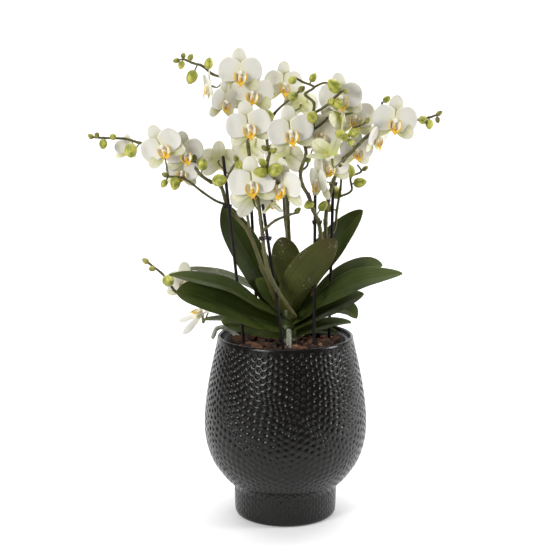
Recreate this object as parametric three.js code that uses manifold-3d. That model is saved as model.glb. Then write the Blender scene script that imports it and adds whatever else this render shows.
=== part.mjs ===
// A potted moth orchid: a hammered pot, a nursery pot of bark in it, and two plants tied to six stakes.
// Millimetres, +Z up, the origin in the middle of the pot's foot. The plant's front faces -Y.
import * as THREE from 'three';
import { mergeVertices } from 'three/addons/utils/BufferGeometryUtils.js';
import Module from 'manifold-3d';

const wasm = await Module();
wasm.setup();

// What lies against a neighbour keeps this gap to it.
const CLEAR = 0.3;

// Pot
const POT_HEIGHT = 225;
const POT_RADIUS = 100;
const FOOT_RADIUS = 62.5;
const FOOT_HEIGHT = 34;
const FOOT_ROUND = 4;
const POT_WALL = 6;
const POT_FLOOR = 10;
const RIM_RADIUS = 83;
const MOUTH_RADIUS = 79.2;
const SHOULDER_RADIUS = 76.6;
const SHOULDER_Z = 217;
const POT_SIDES = 27;

// Nursery pot, hung by its lip on the shoulder inside the pot's mouth
const NURSERY_LIP_RADIUS = 78.6;
const NURSERY_LIP_HEIGHT = 2.2;
const NURSERY_TOP_RADIUS = 74.5;
const NURSERY_FOOT_RADIUS = 54;
const NURSERY_HEIGHT = 140;
const NURSERY_WALL = 1.2;
const NURSERY_SIDES = 20;

// Bark
const BARK_TOP_Z = 213;
const BARK_RELIEF = 4;
const BARK_SIDES = 20;
const BARK_RINGS = 2;

// Stakes and clips
const STAKE_RADIUS = 1.9;
const STAKE_SIDES = 5;
const STAKE_FOOT_Z = 150;
const CLIP_HEIGHT = 4.5;
const CLIP_SIDES = 6;

// Plant
const CROWN_RADIUS = 11;
const CROWN_FOOT_Z = 204;
const LEAF_THICKNESS = 2.2;
const LEAF_FOLD = 0.3;
const LEAF_COLUMNS = 4;
const LEAF_ROWS = 6;
const ROOT_RADII = [3.2, 2.6];
const BUD_STALK_RADIUS = 0.9;
const MAIN_STEM_RADIUS = 1.6;
const MAIN_STEM_SIDES = 5;
const BRANCH_SIDES = 3;
const PETAL_THICKNESS = 1;
const PEDICEL_RADIUS = 1.1;
const BLOOM_SPAN = 50;
const BUD_GIRTH = [1.1, 0.9];

const COLOURS = {
  ceramic: [0x2b2c2c, 0.5],
  plastic: [0x2a2529, 0.45],
  bark: [0x6b3a22, 0.9],
  root: [0xaab09c, 0.7],
  leaf: [0x3c5420, 0.45],
  stem: [0x6a6f38, 0.5],
  petal: [0xf0efe6, 0.6],
};

const vector = (values) => new THREE.Vector3(...values);

// A closed triangle list as a solid, without the triangles that a pole makes empty.
function solidOf(geometry) {
  geometry.deleteAttribute('normal');
  geometry.deleteAttribute('uv');
  const merged = mergeVertices(geometry, 1e-4);
  const points = merged.attributes.position.array;
  const corners = merged.index.array;
  const kept = [];
  for (let i = 0; i < corners.length; i += 3) {
    const [a, b, c] = [corners[i], corners[i + 1], corners[i + 2]];
    if (a !== b && b !== c && c !== a) kept.push(a, b, c);
  }
  const mesh = { numProp: 3, vertProperties: new Float32Array(points), triVerts: new Uint32Array(kept) };
  return new wasm.Manifold(new wasm.Mesh(mesh));
}

function geometryOf(solid) {
  const mesh = solid.getMesh();
  const geometry = new THREE.BufferGeometry();
  geometry.setAttribute('position', new THREE.BufferAttribute(mesh.vertProperties, 3));
  geometry.setIndex(new THREE.BufferAttribute(mesh.triVerts, 1));
  geometry.computeVertexNormals();
  return geometry;
}

function union(solids) {
  return solids.reduce((whole, solid) => whole.add(solid));
}

// The biggest body of a solid, so that no loose scrap is left of a cut.
function mainBody(solid) {
  return solid.decompose().reduce((best, body) => (body.volume() > best.volume() ? body : best));
}

// A turned body from its closed profile of [radius, height], with the outer side listed upward.
function turned(profile, sides) {
  const points = profile.map(([radius, height]) => new THREE.Vector2(radius, height));
  const lathe = new THREE.LatheGeometry(points, sides);
  lathe.rotateX(Math.PI / 2);
  return solidOf(lathe);
}

// A round bar along a smooth curve through the points, tapering from one radius to the other.
function bar(points, radii, sides, steps, grow = 0) {
  const curve = routeOf(points);
  const frames = curve.computeFrenetFrames(steps, false);
  const geometry = new THREE.CylinderGeometry(1, 1, 1, sides, steps);
  const place = geometry.attributes.position;
  for (let i = 0; i < place.count; i += 1) {
    const step = Math.round((place.getY(i) + 0.5) * steps);
    const t = step / steps;
    const radius = THREE.MathUtils.lerp(radii[0], radii[1], t) + grow;
    const centre = curve.getPoint(t);
    if (step === 0) centre.addScaledVector(frames.tangents[0], -grow);
    if (step === steps) centre.addScaledVector(frames.tangents[steps], grow);
    centre.addScaledVector(frames.normals[step], place.getX(i) * radius);
    centre.addScaledVector(frames.binormals[step], -place.getZ(i) * radius);
    place.setXYZ(i, centre.x, centre.y, centre.z);
  }
  return solidOf(geometry);
}

function routeOf(points) {
  return new THREE.CatmullRomCurve3(points.map(vector), false, 'catmullrom', 0.5);
}

// A thin closed blade: place(u, t, side) gives a point for u from -1 to 1 across and t from 0 to 1 along.
// Both faces share the edge and the two ends, and are split into triangles alike.
function blade(columns, rows, place) {
  const positions = [];
  const known = new Map();
  const corner = (i, j, side) => {
    const end = j === 0 || j === rows;
    const edge = end || i === 0 || i === columns;
    const key = `${end ? 0 : i},${j},${edge ? 0 : side}`;
    if (!known.has(key)) {
      known.set(key, positions.length / 3);
      const point = place(end ? 0 : (2 * i) / columns - 1, j / rows, edge ? 0 : side);
      positions.push(point.x, point.y, point.z);
    }
    return known.get(key);
  };
  const index = [];
  for (let j = 0; j < rows; j += 1) {
    for (let i = 0; i < columns; i += 1) {
      for (const side of [1, -1]) {
        const [a, b] = [corner(i, j, side), corner(i + 1, j, side)];
        const [c, d] = [corner(i + 1, j + 1, side), corner(i, j + 1, side)];
        if (side > 0) index.push(a, b, c, a, c, d);
        else index.push(a, c, b, a, d, c);
      }
    }
  }
  const geometry = new THREE.BufferGeometry();
  geometry.setAttribute('position', new THREE.Float32BufferAttribute(positions, 3));
  geometry.setIndex(index);
  return geometry;
}

// An egg shape with its long axis from the point along the direction.
function egg(centre, direction, length, width, sides, rings) {
  const geometry = new THREE.SphereGeometry(1, sides, rings);
  geometry.scale(width / 2, length / 2, width / 2);
  const turn = new THREE.Quaternion().setFromUnitVectors(new THREE.Vector3(0, 1, 0), direction);
  geometry.applyQuaternion(turn);
  geometry.translate(centre.x, centre.y, centre.z);
  return solidOf(geometry);
}

// The belly's radius at heights up the pot, on a smooth curve.
const BELLY = [[77, 50], [90.5, 70], [98.4, 95], [POT_RADIUS, 122], [96.6, 155], [91, 185], [85.4, 210]];
const BELLY_ROWS = 9;
const DIMPLE = 1.2;

function bellyRows() {
  const curve = routeOf(BELLY.map(([radius, height]) => [radius, 0, height]));
  return curve.getSpacedPoints(BELLY_ROWS - 1).map((point, row) => [point.x, point.z, row]);
}

// The pot: a stepped foot, a round belly hammered all over, and a rim turned in to a shoulder.
function potSolid() {
  const rings = [
    [FOOT_RADIUS - FOOT_ROUND, 0],
    [FOOT_RADIUS, FOOT_ROUND],
    [FOOT_RADIUS + 1, FOOT_HEIGHT - 2],
    [FOOT_RADIUS, FOOT_HEIGHT],
    ...bellyRows(),
    [RIM_RADIUS, POT_HEIGHT - 3],
    [RIM_RADIUS - 1.8, POT_HEIGHT],
    [MOUTH_RADIUS, POT_HEIGHT - 2],
    [MOUTH_RADIUS, SHOULDER_Z],
    [SHOULDER_RADIUS, SHOULDER_Z],
    [91 - POT_WALL, 185],
    [POT_RADIUS - POT_WALL, 122],
    [90.5 - POT_WALL, 72],
    [FOOT_RADIUS - POT_WALL, FOOT_HEIGHT + 2],
    [FOOT_RADIUS - POT_WALL, POT_FLOOR],
  ];
  return hammered(rings, POT_SIDES);
}

// A turned body from rings of [radius, height, row]. The rows stand half a step apart in turn, and every
// third corner of a row is sunk, so that each dimple has a raised net of six corners round it.
function hammered(rings, sides) {
  const last = rings.length - 1;
  const positions = [0, 0, rings[0][1], 0, 0, rings[last][1]];
  rings.forEach(([radius, height, row], j) => {
    for (let i = 0; i < sides; i += 1) {
      const sunk = row !== undefined && (i + (row % 2)) % 3 === 0 ? DIMPLE : 0;
      const angle = ((i + (j % 2) / 2) * 2 * Math.PI) / sides;
      positions.push((radius - sunk) * Math.cos(angle), (radius - sunk) * Math.sin(angle), height);
    }
  });
  const corner = (j, i) => 2 + j * sides + (i % sides);
  const index = [];
  for (let i = 0; i < sides; i += 1) {
    index.push(0, corner(0, i + 1), corner(0, i), 1, corner(last, i), corner(last, i + 1));
    for (let j = 0; j < last; j += 1) {
      const [a, b, c, d] = [corner(j, i), corner(j, i + 1), corner(j + 1, i + 1), corner(j + 1, i)];
      if (j % 2 === 0) index.push(a, b, d, b, c, d);
      else index.push(a, b, c, a, c, d);
    }
  }
  const geometry = new THREE.BufferGeometry();
  geometry.setAttribute('position', new THREE.Float32BufferAttribute(positions, 3));
  geometry.setIndex(index);
  return solidOf(geometry);
}

const NURSERY_LIP_Z = SHOULDER_Z + CLEAR;
const NURSERY_FOOT_Z = NURSERY_LIP_Z + NURSERY_LIP_HEIGHT - NURSERY_HEIGHT;

function nurserySolid() {
  const lipTop = NURSERY_LIP_Z + NURSERY_LIP_HEIGHT;
  return turned([
    [0, NURSERY_FOOT_Z],
    [NURSERY_FOOT_RADIUS, NURSERY_FOOT_Z],
    [NURSERY_TOP_RADIUS, NURSERY_LIP_Z],
    [NURSERY_LIP_RADIUS, NURSERY_LIP_Z],
    [NURSERY_LIP_RADIUS, lipTop],
    [NURSERY_TOP_RADIUS - NURSERY_WALL, lipTop],
    [NURSERY_FOOT_RADIUS - NURSERY_WALL, NURSERY_FOOT_Z + NURSERY_WALL],
    [0, NURSERY_FOOT_Z + NURSERY_WALL],
  ], NURSERY_SIDES);
}

// A seeded run of numbers from 0 to 1, so that the bark's lumps always fall alike.
function lumpDraw(seed) {
  let state = seed;
  return () => {
    state = (state * 16807) % 2147483647;
    return state / 2147483647;
  };
}

// The bark fills the nursery pot, and its top is raised in lumps.
function barkSolid() {
  const foot = NURSERY_FOOT_Z + NURSERY_WALL + CLEAR;
  const slope = (NURSERY_TOP_RADIUS - NURSERY_FOOT_RADIUS) / (NURSERY_LIP_Z - NURSERY_FOOT_Z);
  const wallGap = NURSERY_WALL + CLEAR + 0.2;
  const radiusAt = (z) => NURSERY_FOOT_RADIUS - wallGap + slope * (z - NURSERY_FOOT_Z - NURSERY_WALL);
  const profile = [[0, foot], [radiusAt(foot), foot], [radiusAt(BARK_TOP_Z), BARK_TOP_Z]];
  for (let ring = BARK_RINGS; ring >= 0; ring -= 1) {
    profile.push([(radiusAt(BARK_TOP_Z) - 2) * (ring / (BARK_RINGS + 1)), BARK_TOP_Z + 1]);
  }
  const points = profile.map(([radius, height]) => new THREE.Vector2(radius, height));
  const lathe = new THREE.LatheGeometry(points, BARK_SIDES);
  lathe.deleteAttribute('normal');
  lathe.deleteAttribute('uv');
  const merged = mergeVertices(lathe, 1e-4);
  const place = merged.attributes.position;
  const draw = lumpDraw(77);
  for (let i = 0; i < place.count; i += 1) {
    if (place.getY(i) > BARK_TOP_Z + 0.5) place.setY(i, place.getY(i) + (draw() - 0.4) * BARK_RELIEF);
  }
  merged.rotateX(Math.PI / 2);
  return solidOf(merged);
}

// Stakes: name, foot and top, each driven straight into the bark.
const STAKES = [
  ['stake_1', [-50, -18, 214], [-74, -16, 443]],
  ['stake_2', [-2, -43, 214], [-27, -44, 389]],
  ['stake_3', [34, -26, 214], [35, -13, 396]],
  ['stake_4', [54, 14, 214], [57, 2, 415]],
  ['stake_5', [10, 52, 214], [0, 43, 372]],
  ['stake_6', [-34, 26, 214], [-42, 30, 384]],
];

function stakeSolid(foot, top, grow) {
  const low = vector(foot);
  const high = vector(top);
  const down = low.clone().sub(high);
  const end = low.clone().addScaledVector(down, (foot[2] - STAKE_FOOT_Z) / (top[2] - foot[2]));
  return bar([end.toArray(), high.toArray()], [STAKE_RADIUS, STAKE_RADIUS], STAKE_SIDES, 1, grow);
}

// Crowns: the short thick stems that leaves and spikes grow from, each with its small leaves.
const CROWNS = {
  crown_front: {
    stem: [[3, -4, CROWN_FOOT_Z], [3, -4, 232], [3, -5, 256]],
    leaves: [
      { path: [[3, -3, 248], [-12, 0, 266], [-24, 3, 280], [-36, 4, 293]], width: 28, face: [0.5, -0.7, 0.5] },
      { path: [[6, 1, 244], [18, 4, 264], [30, 2, 285], [43, -3, 302], [54, -7, 312]],
        width: 24, face: [-0.75, 0.1, 0.6] },
      { path: [[3, -4, 222], [30, -4, 230], [54, -5, 238], [80, -4, 241]], width: 26, face: [-0.1, -0.3, 0.95] },
    ],
  },
  crown_back: {
    stem: [[17, 32, CROWN_FOOT_Z], [15, 32, 230], [14, 31, 254]],
    leaves: [
      { path: [[18, 32, 222], [36, 30, 223], [52, 27, 222], [66, 24, 220]], width: 15, face: [0, -0.5, 0.86] },
      { path: [[15, 32, 230], [-30, 42, 232], [-70, 44, 234], [-103, 42, 235]], width: 24, face: [0, -0.12, 1] },
    ],
  },
};

function crownSolid({ stem, leaves }, grow) {
  const core = bar(stem, [CROWN_RADIUS, CROWN_RADIUS * 0.7], 8, 2, grow);
  return union([core, ...leaves.map((leaf) => leafSolid(leaf, grow))]);
}

// Aerial roots, silver grey: one dives into the bark, one leans out over the rim.
const ROOTS = {
  root_front: [[4, -17, 233], [4, -27, 226], [4, -34, 215], [4, -35, 200]],
  root_rim: [[-50, 12, 200], [-56, 14, 215], [-66, 15, 225], [-76, 16, 230], [-85, 17, 228], [-90, 18, 217]],
};

// Leaves: midrib from crown to tip, width, which way the upper face looks, and tip, larger if pointed.
const LEAVES = {
  leaf_01: { path: [[4, -4, 246], [8, -16, 267], [15, -31, 289], [27, -42, 310], [43, -47, 330], [59, -48, 349]],
    width: 46, face: [-0.25, 0.9, 0.3] },
  leaf_02: { path: [[3, -4, 243], [-33, -30, 266], [-66, -47, 290], [-101, -54, 301], [-136, -57, 309]],
    width: 36, face: [0.1, -0.35, 0.93], tip: 0.85 },
  leaf_03: { path: [[3, -4, 240], [30, -2, 257], [53, -12, 273], [76, -19, 287], [98, -23, 297], [140, -20, 304]],
    width: 44, face: [-0.15, -0.45, 0.88] },
  leaf_04: { path: [[3, -4, 233], [-37, -34, 250], [-75, -54, 272], [-104, -60, 284], [-128, -62, 289]],
    width: 46, face: [0.1, -0.6, 0.78] },
  leaf_05: { path: [[3, -4, 230], [30, -4, 244], [55, -10, 257], [78, -10, 269], [95, -8, 277]],
    width: 38, face: [-0.2, -0.35, 0.9] },
  leaf_06: { path: [[3, -4, 224], [-26, 4, 230], [-50, 10, 235], [-79, 14, 239]],
    width: 38, face: [0.1, -0.6, 0.8] },
  leaf_07: { path: [[14, 32, 240], [-9, 26, 255], [-29, 19, 289], [-50, 15, 326], [-67, 9, 358], [-75, 4, 384]],
    width: 44, face: [0.5, -0.8, 0.25] },
  leaf_08: { path: [[14, 32, 246], [22, 38, 272], [35, 40, 297], [53, 40, 320], [70, 38, 343], [95, 33, 374]],
    width: 44, face: [-0.45, -0.75, 0.45] },
  leaf_09: { path: [[17, 30, 250], [13, 21, 272], [5, 14, 300], [-1, 10, 325], [-5, 8, 344]],
    width: 36, face: [0, 0.95, 0.3] },
  leaf_10: { path: [[16, 32, 238], [38, 38, 255], [60, 36, 278], [80, 33, 294], [100, 30, 303], [120, 28, 306]],
    width: 40, face: [-0.15, -0.45, 0.88] },
  leaf_11: { path: [[14, 32, 242], [-28, 48, 267], [-75, 58, 287], [-102, 60, 293], [-127, 60, 296]],
    width: 40, face: [0.15, 0.1, 0.97] },
  leaf_12: { path: [[16, 32, 228], [40, 33, 240], [62, 30, 250], [78, 26, 249], [89, 24, 240]],
    width: 32, face: [0.1, -0.4, 0.9] },
};

// Half of a strap leaf's width along its length: a clasping base, the widest past the middle, then the tip.
function strap(t, tip) {
  const widest = 0.58;
  if (t <= widest) return 0.45 + 0.55 * Math.sin((Math.PI / 2) * (t / widest));
  return Math.max(0, 1 - ((t - widest) / (1 - widest)) ** 2.2) ** tip;
}

// A fleshy leaf, folded along its midrib. Its rows stand closer together towards the tip.
function leafSolid({ path, width, face, tip = 0.5 }, grow) {
  const curve = routeOf(path);
  const upper = vector(face).normalize();
  return solidOf(blade(LEAF_COLUMNS, LEAF_ROWS, (u, row, side) => {
    const t = 1 - (1 - row) ** 1.4;
    const along = curve.getTangent(t);
    const across = along.clone().cross(upper).normalize();
    const normal = across.clone().cross(along);
    const half = t === 0 || t === 1 ? 0 : (width / 2) * strap(t, tip) + 2 * grow;
    const thick = (LEAF_THICKNESS / 2) * (1 - 0.6 * Math.abs(u)) + 2 * grow;
    return curve.getPoint(t)
      .addScaledVector(along, t === 1 ? 2 * grow : 0)
      .addScaledVector(across, u * half)
      .addScaledVector(normal, Math.abs(u) * half * LEAF_FOLD + side * thick);
  }));
}

// Two closed sheets of lobes meet in a bloom's middle: the three sepals, and before them the petals and lip.
// A lobe's angle is clockwise from up, lean tips it forward, and sides are [length, half width] in shares.
const SEPAL_SIDES = [[0.35, 0.86], [0.72, 0.86]];
const PETAL_SIDES = [[0.26, 0.82], [0.58, 1], [0.86, 0.66]];
const SEPALS = {
  back: 1.3,
  lobes: [
    { angle: 0, length: 27, width: 18, lean: 0, cup: 1, sides: SEPAL_SIDES },
    { angle: 130, length: 28, width: 18, lean: 4, cup: 1, sides: SEPAL_SIDES },
    { angle: 230, length: 28, width: 18, lean: 4, cup: 1, sides: SEPAL_SIDES },
  ],
};
const PETALS = {
  back: -1.3,
  lobes: [
    { angle: 80, length: 25, width: 29, lean: 4, cup: -1, sides: PETAL_SIDES },
    { angle: 180, length: 17, width: 12, lean: 38, cup: -1, sides: [[0.6, 1]] },
    { angle: 280, length: 25, width: 29, lean: 4, cup: -1, sides: PETAL_SIDES },
  ],
};
const VALLEY = 4.5;
const HALF_OPEN_LEAN = 32;
const HALF_OPEN_INNER_LEAN = 46;
const HALF_OPEN_WIDTH = 0.8;

// Which way a lobe runs and lies in a bloom that faces -Y.
function lobeFrame(angle, lean) {
  const [turn, tip] = [angle, lean].map(THREE.MathUtils.degToRad);
  const out = new THREE.Vector3(Math.sin(turn), 0, Math.cos(turn));
  const front = new THREE.Vector3(0, -1, 0);
  return {
    across: new THREE.Vector3(Math.cos(turn), 0, -Math.sin(turn)),
    along: out.clone().multiplyScalar(Math.cos(tip)).addScaledVector(front, Math.sin(tip)),
    normal: front.clone().multiplyScalar(Math.cos(tip)).addScaledVector(out, -Math.sin(tip)),
  };
}

// Both faces of a sheet fan out alike from the middle of each lobe, and share the edge.
function sheet({ back, lobes }, scale, lean, narrow, grow) {
  const positions = [];
  const index = [];
  const half = PETAL_THICKNESS / 2 + 2 * grow;
  const corner = (point) => positions.push(point.x, point.y + back * scale, point.z) / 3 - 1;
  const hub = [1, -1].map((side) => corner(new THREE.Vector3(0, -side * half, 0)));
  const valleys = lobes.map((lobe, i) => {
    const next = lobes[(i + 1) % lobes.length];
    const gap = (next.angle - lobe.angle + 360) % 360;
    const { along } = lobeFrame(lobe.angle + gap / 2, lean + (lobe.lean + next.lean) / 2);
    return corner(along.multiplyScalar(VALLEY * scale + 2 * grow));
  });
  lobes.forEach((lobe, i) => {
    const { along, across, normal } = lobeFrame(lobe.angle, lobe.lean + lean);
    const [length, width] = [lobe.length * scale, (lobe.width / 2) * scale * narrow];
    const at = (far, wide, lift) => new THREE.Vector3().addScaledVector(along, far)
      .addScaledVector(across, wide).addScaledVector(normal, lift);
    const right = lobe.sides.map(([t, w]) => corner(at(length * t, width * w + 2 * grow, 0)));
    const left = lobe.sides.map(([t, w]) => corner(at(length * t, -width * w - 2 * grow, 0)));
    const tip = corner(at(length + 2 * grow, 0, 0));
    const rim = [valleys[i], ...right, tip, ...left.reverse(), valleys[(i + lobes.length - 1) % lobes.length]];
    [1, -1].forEach((side, face) => {
      const middle = corner(at(length * 0.55, 0, lobe.cup * scale + side * half));
      const ring = [hub[face], ...rim];
      ring.forEach((a, k) => {
        const b = ring[(k + 1) % ring.length];
        index.push(middle, ...(side > 0 ? [a, b] : [b, a]));
      });
    });
  });
  const geometry = new THREE.BufferGeometry();
  geometry.setAttribute('position', new THREE.Float32BufferAttribute(positions, 3));
  geometry.setIndex(index);
  return geometry;
}

function bloomSolid({ at, face, size, half }, grow) {
  const scale = size / BLOOM_SPAN;
  const [outer, inner, narrow] = half ? [HALF_OPEN_LEAN, HALF_OPEN_INNER_LEAN, HALF_OPEN_WIDTH] : [0, 0, 1];
  const petals = half ? { ...PETALS, lobes: PETALS.lobes.filter(({ angle }) => angle !== 180) } : PETALS;
  const column = new THREE.OctahedronGeometry(1, 0);
  column.scale(3 * scale + grow, 5.6 * scale + 2 * grow, 3 * scale + grow);
  column.translate(0, -1.6 * scale, 0);
  const place = bloomPlace(at, face);
  const shapes = [column, sheet(SEPALS, scale, outer, narrow, grow), sheet(petals, scale, inner, narrow, grow)];
  return union(shapes.map((geometry) => solidOf(geometry.applyMatrix4(place))));
}

// A bloom's place from its point and its turn to the right, nod downward and roll to the right, in degrees.
function bloomPlace(at, [turn, nod, roll]) {
  const [x, y, z] = [nod, roll, turn].map(THREE.MathUtils.degToRad);
  const place = new THREE.Matrix4().makeRotationFromEuler(new THREE.Euler(x, y, z, 'ZXY'));
  return place.setPosition(vector(at));
}

// Spikes: their stems as points with radii at both ends, buds as [place, length], and their blooms.
const SPIKES = {
  spike_low_left: {
    stems: [
      { path: [[3, -4, 240], [-30, 8, 250], [-70, 10, 256], [-109, 5, 264], [-124, 1, 272], [-134, -3, 279],
        [-143, -6, 293], [-150, -6, 302], [-165, -6, 314]], radii: [1.9, 1] },
    ],
    buds: [[[-169, -7, 317], 8], [[-161, -10, 308], 8], [[-141, -14, 294], 17]],
  },
  spike_left: {
    stems: [
      { path: [[3, -4, 240], [-9, 0, 258], [-16, -8, 280], [-27, -18, 308], [-43, -14, 350], [-59, -9, 370],
        [-70, -9, 385], [-77, -16, 408], [-88, -32, 415], [-99, -42, 424], [-112, -30, 438], [-135, -16, 452],
        [-152, -18, 457], [-171, -24, 460], [-188, -28, 465], [-213, -28, 466], [-227, -28, 467]],
        radii: [2.5, 1] },
      { path: [[-43, -14, 350], [-46, -6, 372], [-53, 0, 395], [-62, 4, 414]], radii: [1.5, 1.1] },
      { path: [[-70, -9, 385], [-83, -24, 392], [-97, -36, 403], [-118, -46, 420], [-136, -50, 423]],
        radii: [1.3, 0.9] },
      { path: [[-77, -16, 408], [-70, -22, 418], [-63, -32, 431], [-57, -38, 440]], radii: [1.2, 0.9] },
    ],
    buds: [[[-228, -29, 468], 7], [[-220, -33, 470], 7], [[-213, -33, 459], 11], [[-201, -36, 468], 9],
      [[-180, -42, 452], 17], [[-141, -53, 415], 9], [[-140, -50, 425], 7], [[-128, -53, 415], 14],
      [[-96, -50, 437], 13], [[-107, -38, 444], 8], [[-77, -42, 418], 17], [[-58, -40, 443], 8],
      [[-54, -43, 435], 12]],
  },
  spike_middle: {
    stems: [
      { path: [[8, -8, 250], [11, -24, 253], [0, -38, 271], [-10, -49, 289], [-20, -52, 310], [-25, -49, 332],
        [-27, -44, 350], [-29, -43, 368], [-33, -40, 395], [-40, -34, 425], [-44, -26, 455], [-48, -10, 480],
        [-54, 4, 505], [-61, 2, 525], [-72, -6, 535], [-85, -12, 539], [-98, -14, 549], [-108, -14, 552],
        [-120, -14, 557]], radii: [2.5, 1] },
      { path: [[-28, -44, 358], [-23, -50, 363], [-12, -43, 371], [3, -35, 376], [11, -31, 378]],
        radii: [1.5, 1] },
    ],
    buds: [[[-110, -18, 536], 15], [[-90, -16, 552], 12], [[-122, -16, 550], 9], [[-120, -10, 561], 7],
      [[-128, -14, 555], 7], [[-111, -17, 559], 8], [[14, -30, 381], 8]],
  },
  spike_back: {
    stems: [
      { path: [[13, 34, 246], [8, 37, 290], [5, 32, 330], [3, 14, 362], [2, -10, 386], [-1, -34, 403],
        [-7, -51, 413], [-12, -61, 419], [-15, -66, 425], [-21, -67, 434], [-21, -62, 443], [-19, -52, 451],
        [-22, -40, 464], [-18, -32, 480], [-13, -34, 495], [4, -38, 511], [15, -40, 520]], radii: [2.4, 1] },
      { path: [[5, 32, 330], [0, 30, 360], [-2, 24, 400], [0, 20, 440], [4, 16, 480], [6, 12, 505]],
        radii: [1.8, 1.2] },
    ],
    buds: [[[-21, -39, 493], 14], [[8, -43, 514], 13], [[18, -41, 523], 8], [[-27, -72, 441], 10],
      [[-29, -72, 430], 15], [[-12, -72, 433], 17], [[-14, -56, 454], 9], [[-25, -52, 456], 7]],
  },
  spike_right: {
    stems: [
      { path: [[1, 0, 244], [6, 10, 262], [20, 15, 286], [36, 8, 310], [42, -10, 330], [42, -18, 346],
        [39, -23, 366], [32, -30, 382], [27, -36, 398], [19, -44, 413], [17, -48, 429], [23, -50, 448],
        [22, -52, 462], [31, -52, 477], [30, -52, 491], [32, -48, 507], [22, -46, 517], [32, -44, 525],
        [19, -42, 531], [10, -42, 536]], radii: [2.6, 1] },
      { path: [[31, -51, 495], [46, -62, 505], [56, -66, 515], [66, -68, 523]], radii: [1.4, 0.9] },
      { path: [[31, -52, 477], [40, -50, 483], [50, -48, 492]], radii: [1.3, 1] },
      { path: [[32, -44, 525], [42, -54, 530], [50, -62, 530]], radii: [1.1, 0.9] },
      { path: [[17, -48, 429], [24, -44, 434], [26, -42, 440]], radii: [1.1, 0.9] },
    ],
    buds: [[[7, -48, 533], 11], [[31, -40, 536], 10], [[54, -67, 527], 16], [[30, -63, 492], 15],
      [[51, -69, 509], 10], [[59, -70, 507], 12], [[67, -71, 521], 7], [[25, -41, 443], 9],
      [[27, -31, 388], 12], [[44, -26, 386], 12], [[33, -42, 463], 10]],
  },
  spike_far_right: {
    stems: [
      { path: [[17, 29, 244], [26, 22, 262], [38, 17, 288], [46, 11, 316], [49, 5, 338], [48, -1, 362],
        [50, -6, 386], [56, -8, 410], [61, -20, 427], [67, -38, 441], [75, -50, 451], [84, -48, 460],
        [92, -38, 467], [101, -22, 471], [112, -8, 474], [127, -2, 478], [142, -4, 483], [155, -8, 486],
        [169, -10, 489], [178, -10, 492]], radii: [2.5, 1] },
      { path: [[49, 5, 338], [60, 12, 354], [62, 10, 376], [66, 7, 402], [67, 5, 422]], radii: [1.5, 1] },
      { path: [[65, 8, 393], [79, 3, 401], [78, 2, 417], [90, 0, 424], [86, -2, 432]], radii: [1.2, 0.8] },
      { path: [[80, -50, 456], [74, -58, 463], [71, -61, 470], [75, -61, 478], [84, -60, 482], [92, -56, 486]],
        radii: [1.2, 0.8] },
      { path: [[112, -8, 474], [110, -2, 490], [114, -3, 506]], radii: [1.1, 0.8] },
    ],
    buds: [[[161, -14, 486], 12], [[169, -14, 481], 11], [[181, -10, 494], 7], [[179, -11, 486], 7],
      [[119, -6, 510], 9], [[61, -69, 473], 12], [[67, -66, 469], 11], [[77, -66, 474], 12],
      [[74, -64, 463], 9], [[85, -60, 486], 6], [[93, -57, 488], 7], [[77, 0, 425], 14], [[89, 0, 411], 14],
      [[95, 0, 428], 7], [[61, 14, 398], 15], [[51, 10, 380], 12]],
  },
};

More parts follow.
